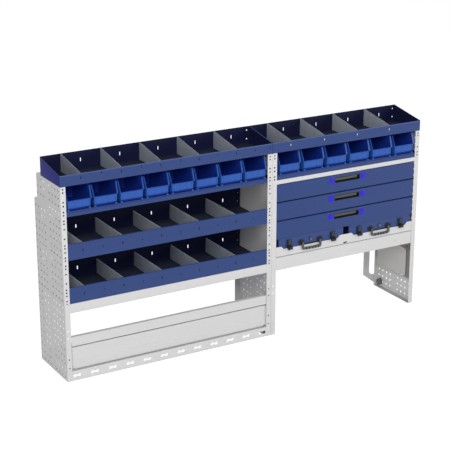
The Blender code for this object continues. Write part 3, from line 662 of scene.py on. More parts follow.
def makeDeepTray(name, node):
    low, high = span(node)
    front, back, floor, hem = low.y, high.y, low.z, low.y + tray["hem"]
    rim, top = floor + tray["lip"], floor + tray["back"]
    line = [(hem, rim - tray["hemDrop"]), (hem, rim), (front, rim), (front, floor), (back, floor),
            (back, top)]
    pan = folded(name, line, low.x, high.x)
    # the inner side of the sheet takes painted shade
    walled(pan, (0, 0, -1), bend=tray["deepBend"], paints=(trayBlue, trayInsideShade, deepFloorAndLight, trayFloorAndShade))
    repaint(pan, 0, lambda face: face.center.y < front + 2 * tray["hem"]
            and face.center.z > rim - tray["hemBand"] and face.normal.z > 0.3)
    middles = [x + leftBay / 2 for x in leftDividers]
    drilled(pan, *flangeNotches("left", low, high, rim + overrun),
            backHoles(leftDividers, leftBay, back, top - tray["deepSlot"], top - tray["deepHole"], high.x,
                      tray["deepSlotWidth"]),
            frontMarks(leftDividers, rim - mark["deepDrop"], mark["deepLength"]),
            frontMarks(middles, rim - mark["deepFineDrop"], width=mark["fineWidth"]))
    darkMarks(pan, 3)
    # the floor faces take the floor colour with its painted light
    repaint(pan, 2, lambda face: face.normal.z > 0.9 and face.center.z < floor + 0.01)
    settle(pan, "frame", "tray_blue", node)
    plates = [deepDivider(x - divider["wall"] / 2, front + divider["inset"], back - divider["inset"],
                          floor + divider["lift"], rim - divider["drop"]) for x in leftDividers]
    settle(gathered(name + "_sheets", plates), "frame", "divider_grey", paint=dividerGrey)


shelf = {"wall": 0.002, "lift": 0.026, "hem": 0.012, "slope": 0.009, "slopeDrop": 0.012, "back": 0.025,
         "bend": 0.0018}


def makeBinShelf(name, node, module):
    low, high = span(node)
    floor, back = low.z + shelf["lift"] + shelf["wall"], high.y - shelf["wall"]
    line = [(low.y + shelf["hem"], low.z), (low.y, low.z), (low.y, floor - shelf["slopeDrop"]),
            (low.y + shelf["slope"], floor), (back, floor), (back, floor + shelf["back"])]
    rack = folded(name, line, low.x, high.x)
    walled(rack, (0, 0, 1), bend=shelf["bend"], paints=(trayBlue, trayInsideShade), segments=2)
    # painted shade on the shelf's floor and back wall behind its front edge
    repaint(rack, 1, lambda face: face.center.y > low.y + shelf["slope"] + 0.001)
    drilled(rack, *flangeNotches(module, low, high, floor + overrun))
    settle(rack, "frame", "tray_blue", node)


def makeTrays():
    makeTopTrays()
    makeDeepTray("mid_pan", "mid_tray")
    makeDeepTray("low_pan", "low_tray")
    makeBinShelf("bin_rack_left", "bin_shelf_left", "left")
    makeBinShelf("bin_rack_right", "bin_shelf_right", "right")
    print("trays made")


# bins

# shifts: sideways, of a module's first bin, and what each next one adds
binBox = {"width": 0.148, "base": 0.137, "depth": 0.235, "height": 0.1165, "front": 0.058, "run": 0.024,
          "rim": 0.0052, "wall": 0.0022, "corner": 0.008, "edge": 0.0025, "sole": 0.003, "recess": 0.012,
          "recessTop": 0.016, "foot": 0.009, "footDepth": 0.015, "footProud": 0.0010,
          "counts": {"left": 8, "right": 6}, "shifts": {"left": (0, 0), "right": (0.0085, -0.0013)}}


def binShell(cut):
    rim, half, depth = binBox["rim"], binBox["width"] / 2 - binBox["rim"], binBox["depth"]
    shell = block("bin", (-half, 0, 0), (half, depth - rim, binBox["height"]))
    choose(shell, "FACE", lambda face: face.normal.z < -0.9)
    share = (binBox["base"] / 2 - rim) / half
    bpy.ops.transform.resize(value=(share, 1, 1), center_override=(0, 0, 0))
    for size, back in ((binBox["corner"], True), (binBox["edge"], False)):
        bevelled(shell, lambda edge: lengthOf(edge, "z") > 0.05 and (edge.verts[0].co.y > depth / 2) == back
                 and abs(abs(edge.verts[0].co.x) - abs(edge.verts[1].co.x)) > 0.001, size, 4)
    bevelled(shell, lambda edge: max(point.co.z for point in edge.verts) < 0.001, binBox["sole"], 2)
    choose(shell, "FACE", lambda face: face.normal.z > 0.9)
    bpy.ops.mesh.delete(type="FACE")
    sliced(shell, (0, 0.001, binBox["front"]), cut, True)
    sliced(shell, (0, 0, binBox["recessTop"]), (0, 0, 1))
    pushed(shell, lambda point: point.co.y < 0.01 and point.co.z < 0.004, (0, binBox["recess"], 0))
    aligned(shell)
    # rim: the open edge is pulled outwards all round
    choose(shell, "EDGE", lambda edge: edge.is_boundary)
    bpy.ops.mesh.extrude_edges_move(TRANSFORM_OT_translate={"value": (0, 0, 0)})
    middle = (depth - rim) / 2
    bpy.ops.transform.resize(value=((half + rim) / half, (middle + rim) / middle, 1),
                             center_override=(0, middle, 0))
    done()
    return painted(shell, binBlue, binInsideShade)


def makeBin():
    cut = Vector((0, binBox["front"] - binBox["height"], binBox["run"])).normalized()
    shell = binShell(cut)
    low = sum(face.area * face.normal.z for face in shell.data.polygons if face.center.z < 0.003)
    if low > 0:
        turnedOver(shell)
    # the inner side takes painted shade
    modify(shell, "SOLIDIFY", thickness=binBox["wall"], offset=-1, use_even_offset=True, material_offset=1)
    repaint(shell, 0, lambda face: (face.normal.dot(cut) > 0.6 and face.center.y < 0.05)
            or (face.normal.z > 0.6 and face.center.z > binBox["height"] - 0.01))
    # painted shade in the recess under the front
    repaint(shell, 1, lambda face: face.normal.y < -0.3 and face.center.z < binBox["recessTop"] - 0.001
            and face.center.y < binBox["recess"] + 0.002)
    return gathered("bin", [shell, binTrim()])


label = {"inset": 0.006, "lift": 0.002, "drop": 0.010, "proud": 0.0016, "sunk": 0.001, "bar": 0.002,
         "middlePost": 0.0016, "middleProud": 0.0012}


def binTrim():
    # label holder, a raised frame with four posts on the low front, and a foot at each side
    inner = binBox["base"] / 2 - binBox["rim"]
    reach, far, bar, post = inner - label["inset"], inner + 0.001, label["bar"], label["middlePost"]
    low, top, sunk = binBox["recessTop"] + label["lift"], binBox["front"] - label["drop"], label["sunk"]
    holder = [block("bar", (-reach, -label["proud"], low), (reach, sunk, low + bar)),
              block("post", (-reach, -label["proud"], low), (-reach + bar, sunk, top)),
              block("post", (reach - bar, -label["proud"], low), (reach, sunk, top))]
    holder += [block("post", (x, -label["middleProud"], low), (x + post, sunk, top))
               for x in (-reach / 3, reach / 3)]
    feet = [block("foot", (side * far, -binBox["footProud"], 0),
                  (side * (far - binBox["foot"]), binBox["footDepth"], binBox["foot"])) for side in (-1, 1)]
    return painted(rounded(gathered("trim", holder + feet), soft, 1), binBlue)


def makeBins():
    model = makeBin()
    for side, count in binBox["counts"].items():
        first, change = binBox["shifts"][side]
        for number in range(1, count + 1):
            node = f"bin_{side}_{number}"
            low, high = span(node)
            x = (low.x + high.x) / 2 + first + change * (number - 1)
            piece = copied(model, f"box_{side}_{number}", (x, high.y - binBox["depth"], low.z))
            settle(piece, node, "bin_blue", node)
    bpy.data.objects.remove(model, do_unlink=True)
    print("bins made")


# beam, plinth and flap

plinth = {"pitch": 0.105, "slots": 12, "eye": 0.0098, "spread": 0.028, "neck": 0.66, "hem": 0.020}
plateBend = 0.003


def plinthSlot(x, z):
    half, eye, neck = plinth["spread"] / 2, plinth["eye"], plinth["neck"]
    right = arc((x + half, z), eye, -pi + neck, pi - neck, 12)
    left = arc((x - half, z), eye, neck, 2 * pi - neck, 12)
    return shaped("slot", [(px, -overrun, pz) for px, pz in right + left], (0, 2 * overrun, 0))


def makeFloorPan():
    low, high = span("floor_pan")
    line = [(low.y + plinth["hem"], 0), (low.y, 0), (low.y, high.z), (high.y, high.z), (high.y, 0),
            (high.y - plinth["hem"], 0)]
    pan = folded("floor_plinth", line, low.x, high.x)
    walled(pan, (0, 0, 1), bend=plateBend)
    first = (low.x + high.x) / 2 - plinth["pitch"] * (plinth["slots"] - 1) / 2
    slots = [plinthSlot(first + plinth["pitch"] * i, high.z / 2) for i in range(plinth["slots"])]
    drilled(pan, gathered("slots", slots))
    settle(pan, "frame", "panel_grey", "floor_pan", paint=panelGrey)


flap = {"wall": 0.002, "rodRadius": 0.0029, "strip": 0.053, "fold": 0.022, "crease": 0.0010,
        "creases": (0.38, 0.17), "groove": 0.0095, "grooveDepth": 0.010, "end": 0.0650, "slit": 0.0012,
        "knuckle": 0.012, "knuckleRise": 0.004, "returnRise": 0.005, "returnSet": 0.001,
        "returnGap": 0.0005}


def makeFlap():
    low, high = span("flap")
    rodLow, rodHigh = span("flap_rod")
    axisY, axisZ = (rodLow.y + rodHigh.y) / 2, (rodLow.z + rodHigh.z) / 2
    panelY, step, wall, end = axisY + flap["rodRadius"], high.z - flap["strip"], flap["wall"], flap["end"]
    under, grooveY = step - flap["groove"], panelY + flap["grooveDepth"]
    line = [(low.y + flap["fold"], high.z), (low.y, high.z), (low.y, step), (grooveY, step),
            (grooveY, under), (panelY, under)]
    for share in flap["creases"]:
        z, deep = axisZ + (step - axisZ) * share, flap["crease"]
        line += [(panelY, z + 2 * deep), (panelY + deep, z), (panelY, z - 2 * deep)]
    line.append((panelY, end))
    start, stop = low.x + flap["slit"], high.x - flap["slit"]
    panel = folded("drop_flap", line, start, stop)
    walled(panel, (0, -1, 0), wall=wall)
    # a knuckle at each end curls round the hinge rod
    curl = [(panelY, end + flap["knuckleRise"]), (panelY, axisZ)]
    curl += arc((axisY, axisZ), flap["rodRadius"], 0, -1.5 * pi, 16)[1:]
    knuckles = [walled(folded("knuckle", curl, x, x + flap["knuckle"]), (0, -1, 0), wall=wall)
                for x in (start, stop - flap["knuckle"])]
    settle(gathered("flap_knuckles", knuckles), "flap", "panel_grey", paint=rodSteel)
    # a return at each end closes the set-back lower panel towards the upright
    gap, inset = flap["returnGap"], flap["returnSet"]
    returns = [block("return", (x, low.y + inset, end + flap["returnRise"]),
                     (x + wall, panelY + inset, under - gap)) for x in (start, stop - wall)]
    settle(rounded(gathered("flap_returns", returns), soft, 1), "flap", "panel_grey", paint=panelGrey)
    # painted shade on the faces inside the groove under the top strip
    painted(panel, panelGrey, grooveShade)
    repaint(panel, 1, lambda face: under - gap < face.center.z < step + gap
            and face.center.y > panelY + flap["grooveDepth"] * 0.4)
    settle(panel, "flap", "panel_grey", "flap", smooth=24)


def makeBeam(name, node):
    low, high = span(node)
    line = [(high.y, high.z), (low.y, high.z), (low.y, low.z), (high.y, low.z)]
    beam = folded(name, line, low.x, high.x)
    walled(beam, (0, -1, 0), bend=plateBend)
    settle(beam, "frame", "panel_grey", node, paint=panelGrey)


def makeBase():
    makeFloorPan()
    makeFlap()
    makeBeam("cross_beam", "beam_left")
    makeBeam("light_rail", "top_rail")
    print("base made")


# right module: support frame and drawers

deck = {"rearRise": 0.046, "rearBand": 0.04, "hole": (2.1385, 0, 0.4284), "holeRadius": 0.0040}


def makeSupportFrame():
    low, high = span("support_frame")
    top, front = high.z, low.y
    corners = [(low.x, front), (high.x, front), (high.x, high.y), (low.x, high.y)]
    frameDeck = rimmed("support_deck", [(x, y, top) for x, y in corners], (0, 0, low.z - top))
    pushed(frameDeck, lambda point: point.co.y > high.y / 2 and point.co.z < top - deck["rearBand"],
           (0, 0, deck["rearRise"]))
    walled(frameDeck, (0, 0, 1), bend=plateBend)
    drilled(frameDeck, rod("hole", deck["hole"], deck["holeRadius"], 2 * overrun, forwards, 16))
    settle(frameDeck, "frame", "panel_grey", "support_frame", paint=panelGrey)


drawer = {"front": 0.016, "boxHeight": 0.075, "lift": 0.010, "bend": 0.002, "gap": 0.0018,
          "overhang": 0.0027, "room": 0.0003, "tubRoom": 0.0006, "tubStart": 0.0022, "tubWall": 0.0015,
          "sideRoom": 0.015, "slideRoom": 0.003, "slideStart": 0.018, "slideLift": 0.0303,
          "slideHeight": 0.006, "slideEdge": 0.0008, "discRadius": 0.019, "discSpread": 0.109,
          "discProud": 0.0004, "discDepth": 0.0010}


def cupOpening(low, high, room, back):
    return block("opening", (low.x - room, -overrun, low.z - room), (high.x + room, back, high.z + room))


def makeDrawer(number):
    node = f"drawer_{number}"
    low, high = span(node)
    cupLow, cupHigh = span(f"drawer_handle_{number}")
    front = cupLow.y
    bottom, top = low.z - (drawer["overhang"] if number == 3 else 0), high.z - drawer["gap"]
    corners = [(low.x, bottom), (high.x, bottom), (high.x, top), (low.x, top)]
    face = rimmed(f"drawer_face_{number}", [(x, front, z) for x, z in corners], (0, drawer["front"], 0))
    walled(face, (0, -1, 0), bend=drawer["bend"])
    drilled(face, cupOpening(cupLow, cupHigh, drawer["room"], overrun))
    makeDrawerTub(number, low.z, high.y, cupLow, cupHigh)
    settle(face, node, "tray_blue", node, paint=trayBlue)
    middle = (cupLow + cupHigh) / 2
    discs = [rod("disc", (middle.x + side * drawer["discSpread"], front - drawer["discProud"], middle.z),
                 drawer["discRadius"], drawer["discDepth"], forwards, 48) for side in (-1, 1)]
    discs = rounded(gathered(f"drawer_discs_{number}", discs), soft, 2, 50)
    settle(discs, node, "tray_blue", paint=discBlue)
    makeDrawerHandle(number, cupLow, cupHigh)


def makeDrawerTub(number, bottom, end, cupLow, cupHigh):
    # the box behind the face, with a slide at each side
    node, floor, slideZ = f"drawer_{number}", bottom + drawer["lift"], bottom + drawer["slideLift"]
    front, room = cupLow.y, drawer["slideRoom"]
    start, slideStart = front + drawer["tubStart"], front + drawer["slideStart"]
    cabinetLow, cabinetHigh = span("drawer_cabinet")
    near, far = cabinetLow.x + drawer["sideRoom"], cabinetHigh.x - drawer["sideRoom"]
    corners = [(near, start), (far, start), (far, end), (near, end)]
    tub = rimmed(f"drawer_tub_{number}", [(x, y, floor) for x, y in corners], (0, 0, drawer["boxHeight"]))
    walled(tub, (0, 0, -1), bend=drawer["bend"], wall=drawer["tubWall"])
    rounded(tub, soft, 1, 60)
    drilled(tub, cupOpening(cupLow, cupHigh, drawer["tubRoom"], start + overrun))
    settle(tub, node, "tray_blue", paint=trayBlue)
    slides = [block("slide", (outer, slideStart, slideZ), (wall, end, slideZ + drawer["slideHeight"]))
              for outer, wall in ((cabinetLow.x + room, near), (cabinetHigh.x - room, far))]
    slides = rounded(gathered(f"drawer_slides_{number}", slides), drawer["slideEdge"])
    settle(slides, node, "tray_blue", paint=rodSteel)


grip = {"edge": 0.0014, "barEdge": 0.0005, "wall": 0.0022, "floor": 0.0018, "back": 0.003,
        "roof": 0.0065, "topBand": 0.0070, "barStart": 0.0020, "barEnd": 0.0185,
        "profile": ((0, 0.0060), (0.0034, 0.0148), (-0.0006, 0.0176), (-0.0006, 0.0188),
                    (0.0060, 0.0188), (0.0060, 0.0060))}


def makeDrawerHandle(number, low, high):
    # a moulded cup with a black recess, and a grip bar whose lower lip comes forward
    front, top, start, wall = low.y, high.z, -2 * overrun, grip["wall"]
    cup = rounded(block(f"grip_cup_{number}", low, high), grip["edge"])
    floor, back, roof = low.z + grip["floor"], high.y - grip["back"], top - grip["roof"]
    sides = [(start, floor), (back, floor), (back, roof), (start, roof)]
    width = high.x - low.x - 2 * wall
    drilled(cup, shaped("recess", [(low.x + wall, y, z) for y, z in sides], (width, 0, 0)))
    painted(cup, handleBlack, handleOlive)
    repaint(cup, 1, lambda face: face.center.y < front + 0.002 and face.center.z > top - grip["topBand"])
    settle(cup, f"drawer_{number}", "handle_black", f"drawer_handle_{number}")
    start = low.x + grip["barStart"]
    bar = shaped(f"grip_bar_{number}", [(start, front + y, top - drop) for y, drop in grip["profile"]],
                 (high.x - grip["barEnd"] - start, 0, 0))
    settle(rounded(bar, grip["barEdge"]), f"drawer_{number}", "handle_black", paint=handleOlive)


# pull-out tray and cases

pull = {"side": 0.015, "wall": 0.002, "bend": 0.002, "gap": 0.0040, "setback": 0.012, "slope": 0.012,
        "end": 0.036, "half": 0.043, "low": 0.046, "tall": 0.062, "corner": 0.004, "slotX": 1.7755,
        "slotRise": 0.0105, "slotWidth": 0.028, "slotHeight": 0.0088}


def makeCaseTray():
    low, high = span("case_tray")
    floor, front, wall = low.z, low.y, pull["wall"]
    rear = front + wall + pull["setback"]
    corners = [(low.x, rear), (high.x, rear), (high.x, high.y), (low.x, high.y)]
    pan = rimmed("pull_tray", [(x, y, floor) for x, y in corners], (0, 0, pull["side"]),
                 lambda edge: max(point.co.y for point in edge.verts) > rear + 0.01)
    walled(pan, (0, 0, -1), bend=pull["bend"])
    # the lip is tall at its ends and middle, and low in between
    middle, half, slope, end = (low.x + high.x) / 2, pull["half"], pull["slope"], pull["end"]
    bottom, notch, tall = floor + pull["gap"], floor + pull["low"], floor + pull["tall"]
    lip = [(low.x, bottom), (high.x, bottom), (high.x, tall), (high.x - end, tall),
           (high.x - end - slope, notch), (middle + half + slope, notch), (middle + half, tall),
           (middle - half, tall), (middle - half - slope, notch), (low.x + end + slope, notch),
           (low.x + end, tall), (low.x, tall)]
    plate = shaped("tray_lip", [(x, front, z) for x, z in lip], (0, wall, 0))
    bevelled(plate, lambda edge: lengthOf(edge, "y") > 0.001 and edge.verts[0].co.z > floor + 0.03,
             pull["corner"], 3)
    drilled(plate, slotCutter(pull["slotX"], front, floor + pull["slotRise"], pull["slotWidth"],
                              pull["slotHeight"]))
    for piece in (pan, plate):
        settle(piece, "case_tray", "panel_grey", "case_tray", paint=panelGrey)


case = {"width": 0.447, "shift": 0.006, "depth": 0.326, "height": 0.105, "parting": 0.068,
        "groove": 0.0004, "corner": 0.010, "edge": 0.0005, "core": 0.004, "coreHalf": 0.008,
        "ribs": 10, "ribStart": 0.055, "ribPitch": 0.0375, "ribWidth": 0.006, "ribDepth": 0.0010,
        "ribLow": 0.008, "ribTop": 0.038, "sunkInset": 0.035, "sunkDepth": 0.0025, "sunkCorner": 0.014,
        "bars": 4, "barStart": 0.075, "barPitch": 0.0985, "barWidth": 0.006, "barInset": 0.060,
        "barSunk": 0.004, "barDrop": 0.0006, "seatRise": 0.073, "seat": 0.0095, "seatDepth": 0.006}


def caseShell(name, low, high):
    shell = bevelled(block(name, low, high), lambda edge: lengthOf(edge, "z") > 0.02, case["corner"], 5)
    return rounded(shell, case["edge"], 3, 40)


def makeCase(side):
    node = f"case_{side}"
    low, high = span(node)
    centre = (low.x + high.x) / 2
    front, back, bottom = high.y - case["depth"], high.y, low.z
    left, right = (centre + case["shift"] + turn * case["width"] / 2 for turn in (-1, 1))
    parting, top, gap = bottom + case["parting"], bottom + case["height"], case["groove"] / 2
    body = caseShell(f"case_body_{side}", (left, front, bottom), (right, back, parting - gap))
    ribs = []
    for i in range(case["ribs"]):
        x = left + case["ribStart"] + case["ribPitch"] * i
        ribs.append(block("rib", (x, front - overrun, bottom + case["ribLow"]),
                          (x + case["ribWidth"], front + case["ribDepth"], bottom + case["ribTop"])))
    drilled(body, gathered("ribs", ribs))
    inset, half = case["core"], case["coreHalf"]
    core = block("core", (left + inset, front + inset, parting - half),
                 (right - inset, back - inset, parting + half))
    merged(body, core, caseShell("lid", (left, front, parting + gap), (right, back, top)))
    # sunk panel and stacking ribs in the lid
    inset = case["sunkInset"]
    sunk = block("sunk", (left + inset, front + inset, top - case["sunkDepth"]),
                 (right - inset, back - inset, top + overrun))
    drilled(body, bevelled(sunk, lambda edge: lengthOf(edge, "z") > 0.01, case["sunkCorner"], 4))
    bars = []
    for i in range(case["bars"]):
        x = left + case["barStart"] + case["barPitch"] * i
        bars.append(block("bar", (x, front + case["barInset"], top - case["barSunk"]),
                          (x + case["barWidth"], back - case["barInset"], top - case["barDrop"])))
    merged(body, gathered("bars", bars))
    drilled(body, rod("seat", (centre, front, bottom + case["seatRise"]), case["seat"], case["seatDepth"],
                      forwards))
    painted(body, caseBlue, caseShade)
    repaint(body, 1, lambda face: abs(face.normal.x) > 0.9
            and not left + 0.001 < face.center.x < right - 0.001)
    settle(body, "case_tray", "case_blue", node)


hinge = {"cap": (0.0205, 0.0158), "capShift": -0.0025, "capSpread": 0.0623, "capRise": 0.003,
         "capFront": -0.0018, "capDepth": 0.0056, "capEdge": 0.0016, "earGap": 0.0005, "earEnd": 0.0035,
         "earHalf": 0.0055, "earBack": 0.003, "earEdge": 0.0012, "stripLow": 0.5150, "strip": 0.0075,
         "stripHalf": 0.052, "stripFront": 0.0008, "stripBack": 0.0045, "stripEdge": 0.0008}


def makeHingeCaps(side, pivot):
    # dark round plates behind the legs of the handle, an ear beside each leg, and a black strip between them
    # that is a painted shadow line above the tray lip
    trim, (wide, tall) = [], hinge["cap"]
    for turn in (-1, 1):
        x, z = pivot.x + hinge["capShift"] + turn * hinge["capSpread"], pivot.z + hinge["capRise"]
        oval = [(x + wide * cos(pi * i / 20), hinge["capFront"], z + tall * sin(pi * i / 20))
                for i in range(40)]
        trim.append(rounded(shaped("cap", oval, (0, hinge["capDepth"], 0)), hinge["capEdge"]))
        outer, half = carry["reach"] + carry["leg"], hinge["earHalf"]
        near, far = (pivot.x + turn * (outer + reach) for reach in (hinge["earGap"], hinge["earEnd"]))
        ear = block("ear", (near, pivot.y - half, pivot.z - half), (far, hinge["earBack"], pivot.z + half))
        trim.append(rounded(ear, hinge["earEdge"]))
    # the strip is painted shadow, a black line above the tray lip
    half, low = hinge["stripHalf"], hinge["stripLow"]
    strip = block("strip", (pivot.x - half, hinge["stripFront"], low),
                  (pivot.x + half, hinge["stripBack"], low + hinge["strip"]))
    trim.append(rounded(strip, hinge["stripEdge"]))
    settle(gathered(f"hinge_caps_{side}", trim), "case_tray", "latch_grey", paint=handleBlack)


carry = {"reach": 0.060, "drop": 0.0355, "leg": 0.007, "thick": 0.0045, "bar": 0.0065, "bend": 0.014,
         "smallBend": 0.005, "pivotDrop": 0.0065, "edge": 0.0030, "barrel": 0.0048, "barrelEdge": 0.0012,
         "ribs": 5, "ribPitch": 0.0199, "ribWidth": 0.0085, "ribShift": 0.0040, "ribProud": 0.0006,
         "ribEdge": 0.0016}


def legSide(edge, z, turnZ, bend, steps):
    # down one edge of a leg and round to the bar
    return [(edge, z), (edge, turnZ)] + arc((edge - bend, turnZ), bend, 0, -pi / 2, steps)[1:]


def makeCarryHandle(side):
    node = f"case_handle_{side}"
    low, high = span(node)
    centre, y, z = (low.x + high.x) / 2, (low.y + high.y) / 2, high.z - carry["pivotDrop"]
    outer, inner, thick = carry["reach"] + carry["leg"], carry["reach"] - carry["leg"], carry["thick"]
    bend, small, proud = carry["bend"], carry["smallBend"], carry["ribProud"]
    bottom, top = z - carry["drop"] - carry["bar"], z - carry["drop"] + carry["bar"]
    outside = legSide(outer, z, bottom + bend, bend, 6)
    inside = legSide(inner, z, top + small, small, 4)
    outline = outside + [(-x, up) for x, up in reversed(outside)]
    outline += [(-x, up) for x, up in inside] + list(reversed(inside))
    handle = shaped(f"carry_handle_{side}", [(centre + x, y - thick, up) for x, up in outline],
                    (0, 2 * thick, 0))
    rounded(handle, carry["edge"], 3, 50)
    barrels = [rod("barrel", (centre + turn * carry["reach"], y, z), carry["barrel"], 2 * carry["leg"],
                   sideways, 32) for turn in (-1, 1)]
    ribs = []
    for i in range(carry["ribs"]):
        x = centre + carry["ribShift"] + carry["ribPitch"] * (i - (carry["ribs"] - 1) / 2)
        ribs.append(block("rib", (x - carry["ribWidth"] / 2, y - thick - proud, bottom - proud),
                          (x + carry["ribWidth"] / 2, y + thick + proud, top + proud)))
    barrels, ribs = gathered("barrels", barrels), gathered("ribs", ribs)
    rounded(barrels, carry["barrelEdge"], 2, 50)
    rounded(ribs, carry["ribEdge"], 2, 50)
    for part, finish in ((handle, handleGrey), (barrels, handleGrey), (ribs, handleBlack)):
        painted(part, finish)
    settle(gathered(f"carry_handle_{side}", [handle, barrels, ribs]), node, "handle_black", node)
    return Vector((centre, y, z))


latch = {"half": 0.0075, "wide": 0.0150, "front": -0.009, "back": -0.0007, "edge": 0.0012, "grooves": 4,
         "side": ((0.003, 0), (0, 0.003), (-0.0005, 0.018), (0.0015, 0.024), (0.001, 0.045)), "step": 0.020,
         "grooveInset": 0.003, "grooveStart": 0.0066, "grooveHeight": 0.0014, "groovePitch": 0.0035,
         "grooveDepth": 0.0009, "grooveReach": 0.004, "band": 0.022,
         "backing": (0.0040, 0.039, 0.0005), "backingEdge": 0.0020,
         "foot": 0.0102, "footDrop": 0.0455, "footInset": 0.001, "footEdge": 0.0018}


def makeLatch(number):
    node = f"case_latch_{number}"
    low, high = span(node)
    middle, top, back = (low.x + high.x) / 2, high.z, latch["back"]
    half, wide, front, foot = latch["half"], latch["wide"], latch["front"], latch["foot"]
    side = [(high.y, top), *[(front + y, top - drop) for y, drop in latch["side"]],
            (back, top - latch["side"][-1][1]), (back, top - latch["step"]), (high.y, top - latch["step"])]
    plate = shaped(f"draw_latch_{number}", [(middle - half, y, z) for y, z in side], (2 * half, 0, 0))
    rounded(plate, latch["edge"], 2, 40)
    reach, grooves = half - latch["grooveInset"], []
    for i in range(latch["grooves"]):
        z = top - latch["grooveStart"] - latch["groovePitch"] * i
        grooves.append(block("groove", (middle - reach, front - latch["grooveReach"], z),
                             (middle + reach, front + latch["grooveDepth"], z - latch["grooveHeight"])))
    drilled(plate, gathered("grooves", grooves))
    painted(plate, latchGrey, handleBlack)
    repaint(plate, 1, lambda face: face.center.z < top - latch["band"])
    settle(plate, node, "latch_grey", node)
    # black backing behind the plate and a black foot that hooks over the tray lip
    setback, long, drop = latch["backing"]
    backing = block(f"latch_backing_{number}", (middle - wide, front + setback, top - long),
                    (middle + wide, high.y, top - drop))
    rounded(backing, latch["backingEdge"], 3)
    hook = rod(f"latch_foot_{number}", (middle, back - foot, top - latch["footDrop"]), foot,
               2 * (wide - latch["footInset"]), sideways, 32)
    rounded(hook, latch["footEdge"], 3)
    for piece in (backing, hook):
        settle(piece, node, "latch_grey", paint=handleBlack)


lock = {"room": 0.0002, "barrelEdge": 0.0012, "bezel": 0.0118, "bezelY": 0.0004, "bezelDepth": 0.0048,
        "bezelEdge": 0.0014, "plug": 0.0062, "plugSet": 0.0010, "plugDepth": 0.0034, "plugEdge": 0.0005,
        "keyWidth": 0.0018, "keyHeight": 0.007, "keySet": 0.008}


def makeLock(side):
    node = f"case_lock_{side}"
    low, high = span(node)
    centre = (low + high) / 2
    x, z = centre.x, centre.z
    radius = (high.x - low.x) / 2 - lock["room"]
    barrel = rod(f"key_lock_{side}", centre, radius, high.y - low.y, forwards, 40)
    painted(rounded(barrel, lock["barrelEdge"], 3, 50), latchGrey)
    bezel = rod("bezel", (x, lock["bezelY"], z), lock["bezel"], lock["bezelDepth"], forwards, 48)
    painted(rounded(bezel, lock["bezelEdge"], 3, 50), latchGrey)
    plug = rod("plug", (x, low.y + lock["plugSet"], z), lock["plug"], lock["plugDepth"], forwards, 32)
    rounded(plug, lock["plugEdge"], 2, 50)
    drilled(plug, slotCutter(x, low.y - lock["keySet"], z, lock["keyWidth"], lock["keyHeight"]))
    painted(plug, lockChrome)
    settle(gathered(f"key_lock_{side}", [barrel, bezel, plug]), node, "lock_metal", node)


def makeCases():
    makeCaseTray()
    for side in ("left", "right"):
        pivot = makeCarryHandle(side)
        makeCase(side)
        makeHingeCaps(side, pivot)
        makeLock(side)
    for number in range(1, 5):
        makeLatch(number)
    print("cases made")


# leg

leg = {"front": 0.040, "back": 0.3255, "bend": 0.030, "frontLow": 0.171, "backLow": 0.147, "edge": 0.0005,
       "channel": ((2.2600, 0.0035, 0.158), (2.2615, 0.062)), "gussetRise": 0.001, "gussetFront": 0.004,
       "gussetDepth": 0.0025, "gussetTop": (2.165, 2.2553), "gussetHole": (2.2343, 0.005, 0.3695),
       "gussetLow": ((2.2553, 0.3505), (2.2345, 0.3505), (2.2174, 0.3590), (2.2050, 0.3695),
                     (2.1850, 0.3820)),
       "gussetHoleRadius": 0.0065}


def makeLeg():
    low, high = span("leg_lining")
    front, back, bend, top = leg["front"], leg["back"], leg["bend"], high.z
    rise = (leg["frontLow"] - leg["backLow"]) / (high.y - low.y)
    outline = [(back, top), *[(y, leg["backLow"] + rise * (high.y - y)) for y in (back, front)],
               *arc((front + bend, top - bend), bend, pi, pi / 2, 8)]
    plate = shaped("leg_plate", [(low.x, y, z) for y, z in outline], (high.x - low.x, 0, 0))
    # the lining takes the darker grey of painted shade
    settle(rounded(plate, leg["edge"], 1, 60), "frame", "panel_grey", "leg_lining", paint=liningShadeGrey)
    # a plate in painted shade fills the shaded channel between the lining and the front flange, and a corner
    # gusset under the frame is painted dark as shade
    start, end = leg["channel"]
    channel = rounded(block("leg_channel", start, (*end, top)), soft, 1)
    settle(channel, "frame", "panel_grey", paint=legShade)
    outline = [*[(x, top + leg["gussetRise"]) for x in leg["gussetTop"]], *leg["gussetLow"]]
    gusset = shaped("leg_gusset", [(x, leg["gussetFront"], z) for x, z in outline],
                    (0, leg["gussetDepth"], 0))
    drilled(gusset, rod("hole", leg["gussetHole"], leg["gussetHoleRadius"], 2 * overrun, forwards, 20))
    # the gusset is painted dark as shade
    settle(gusset, "frame", "panel_grey", paint=gussetShade)
    makeFootCap()
    print("leg made")


footCap = {"shift": (0, 0.007, 0.001), "length": 0.024, "radius": 0.0190, "edge": 0.004, "socket": 0.004,
           "socketDepth": 0.008}


def makeFootCap():
    low, high = span("leg_cap")
    middle, length, socket = (low + high) / 2 - Vector(footCap["shift"]), footCap["length"], footCap["socket"]
    cap = rod("foot_cap", (high.x - length / 2, middle.y, middle.z), footCap["radius"], length, sideways, 40)
    rounded(cap, footCap["edge"], 3, 50)
    drilled(cap, rod("socket", (high.x - length, middle.y, middle.z), socket, footCap["socketDepth"],
                     sideways, 6))
    settle(cap, "frame", "latch_grey", "leg_cap", paint=capGrey)


# floor and light

stage = {"size": 60, "drop": 0.0015, "floor": 0.95, "glow": 0.95, "veil": 0.16, "sky": 0.33,
         "aim": (0, 0, 0.55)}
lamps = {"key": {"place": (-3.2, -5.4, 4.4), "size": 4.0, "power": 250},
         "fill": {"place": (4.0, -4.2, 2.6), "size": 4.0, "power": 85},
         "top": {"place": (0.3, 0.8, 5.0), "size": 5.0, "power": 65}}


def grey(level):
    return (level, level, level)


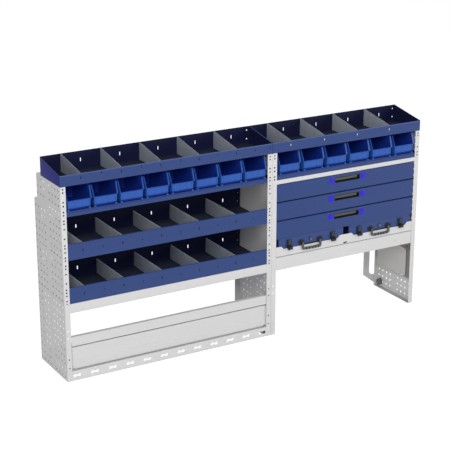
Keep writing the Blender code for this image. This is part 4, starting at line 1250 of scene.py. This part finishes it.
def makeStage():
    # the camera sees a white floor with faint shadows, and the light bounces off a matt one
    only()
    bpy.ops.mesh.primitive_plane_add(size=stage["size"], location=(0, 0, -stage["drop"]))
    floor = bpy.context.object
    floor.name = "studio_floor"
    ground = Finish("studioFloor", grey(stage["floor"]), 0.9)
    camera, glossy, through = (ground.node("ShaderNodeLightPath", result=f"Is {ray} Ray")
                               for ray in ("Camera", "Glossy", "Transmission"))
    seen = ground.node("ShaderNodeMath", {"operation": "ADD", "use_clamp": True},
                       {0: camera + glossy, 1: through})
    glow = ground.node("ShaderNodeEmission", None, {"Color": (1, 1, 1, 1), "Strength": stage["glow"]})
    veil = ground.node("ShaderNodeBsdfDiffuse", None, {"Color": (*grey(stage["veil"]), 1)})
    white = ground.node("ShaderNodeAddShader", None, {0: glow, 1: veil})
    plain = Signal(ground, ground.surface.outputs[0])
    mixed = ground.node("ShaderNodeMixShader", None, {0: seen, 1: plain, 2: white})
    ground.feed(ground.nodes["Material Output"].inputs["Surface"], mixed)
    floor.data.materials.append(ground.material)


def makeLights():
    # the sky is white to the camera and weaker as a light, and three lamps do the rest
    world = bpy.data.worlds.new("studio")
    bpy.context.scene.world = world
    sky = Graph(world)
    sky.nodes.remove(sky.nodes["Background"])
    plain, white = (sky.node("ShaderNodeBackground", None, {"Color": (1, 1, 1, 1), "Strength": strength})
                    for strength in (stage["sky"], 1.0))
    seen = sky.node("ShaderNodeLightPath", result="Is Camera Ray")
    mixed = sky.node("ShaderNodeMixShader", None, {0: seen, 1: plain, 2: white})
    sky.feed(sky.nodes["World Output"].inputs["Surface"], mixed)
    for name, lamp in lamps.items():
        place = Vector(lamp["place"])
        turn = (Vector(stage["aim"]) - place).to_track_quat("-Z", "Y").to_euler()
        bpy.ops.object.light_add(type="AREA", location=place, rotation=turn)
        light = bpy.context.object
        light.name = name
        light.data.shape = "DISK"
        light.data.size = lamp["size"]
        light.data.energy = lamp["power"]


placeCamera()
makeStage()
makeLights()
makeUprights()
makeTrays()
makeBins()
makeBase()
makeSupportFrame()
for number in (1, 2, 3):
    makeDrawer(number)
print("drawers made")
makeCases()
makeLeg()
paintNode("rear_strap", panelGrey)
# the drawer cabinet takes the painted shade of the tray insides
paintNode("drawer_cabinet", trayInsideShade)
paintNode("flap_rod", rodSteel)

bpy.context.scene.view_settings.view_transform = "Standard"
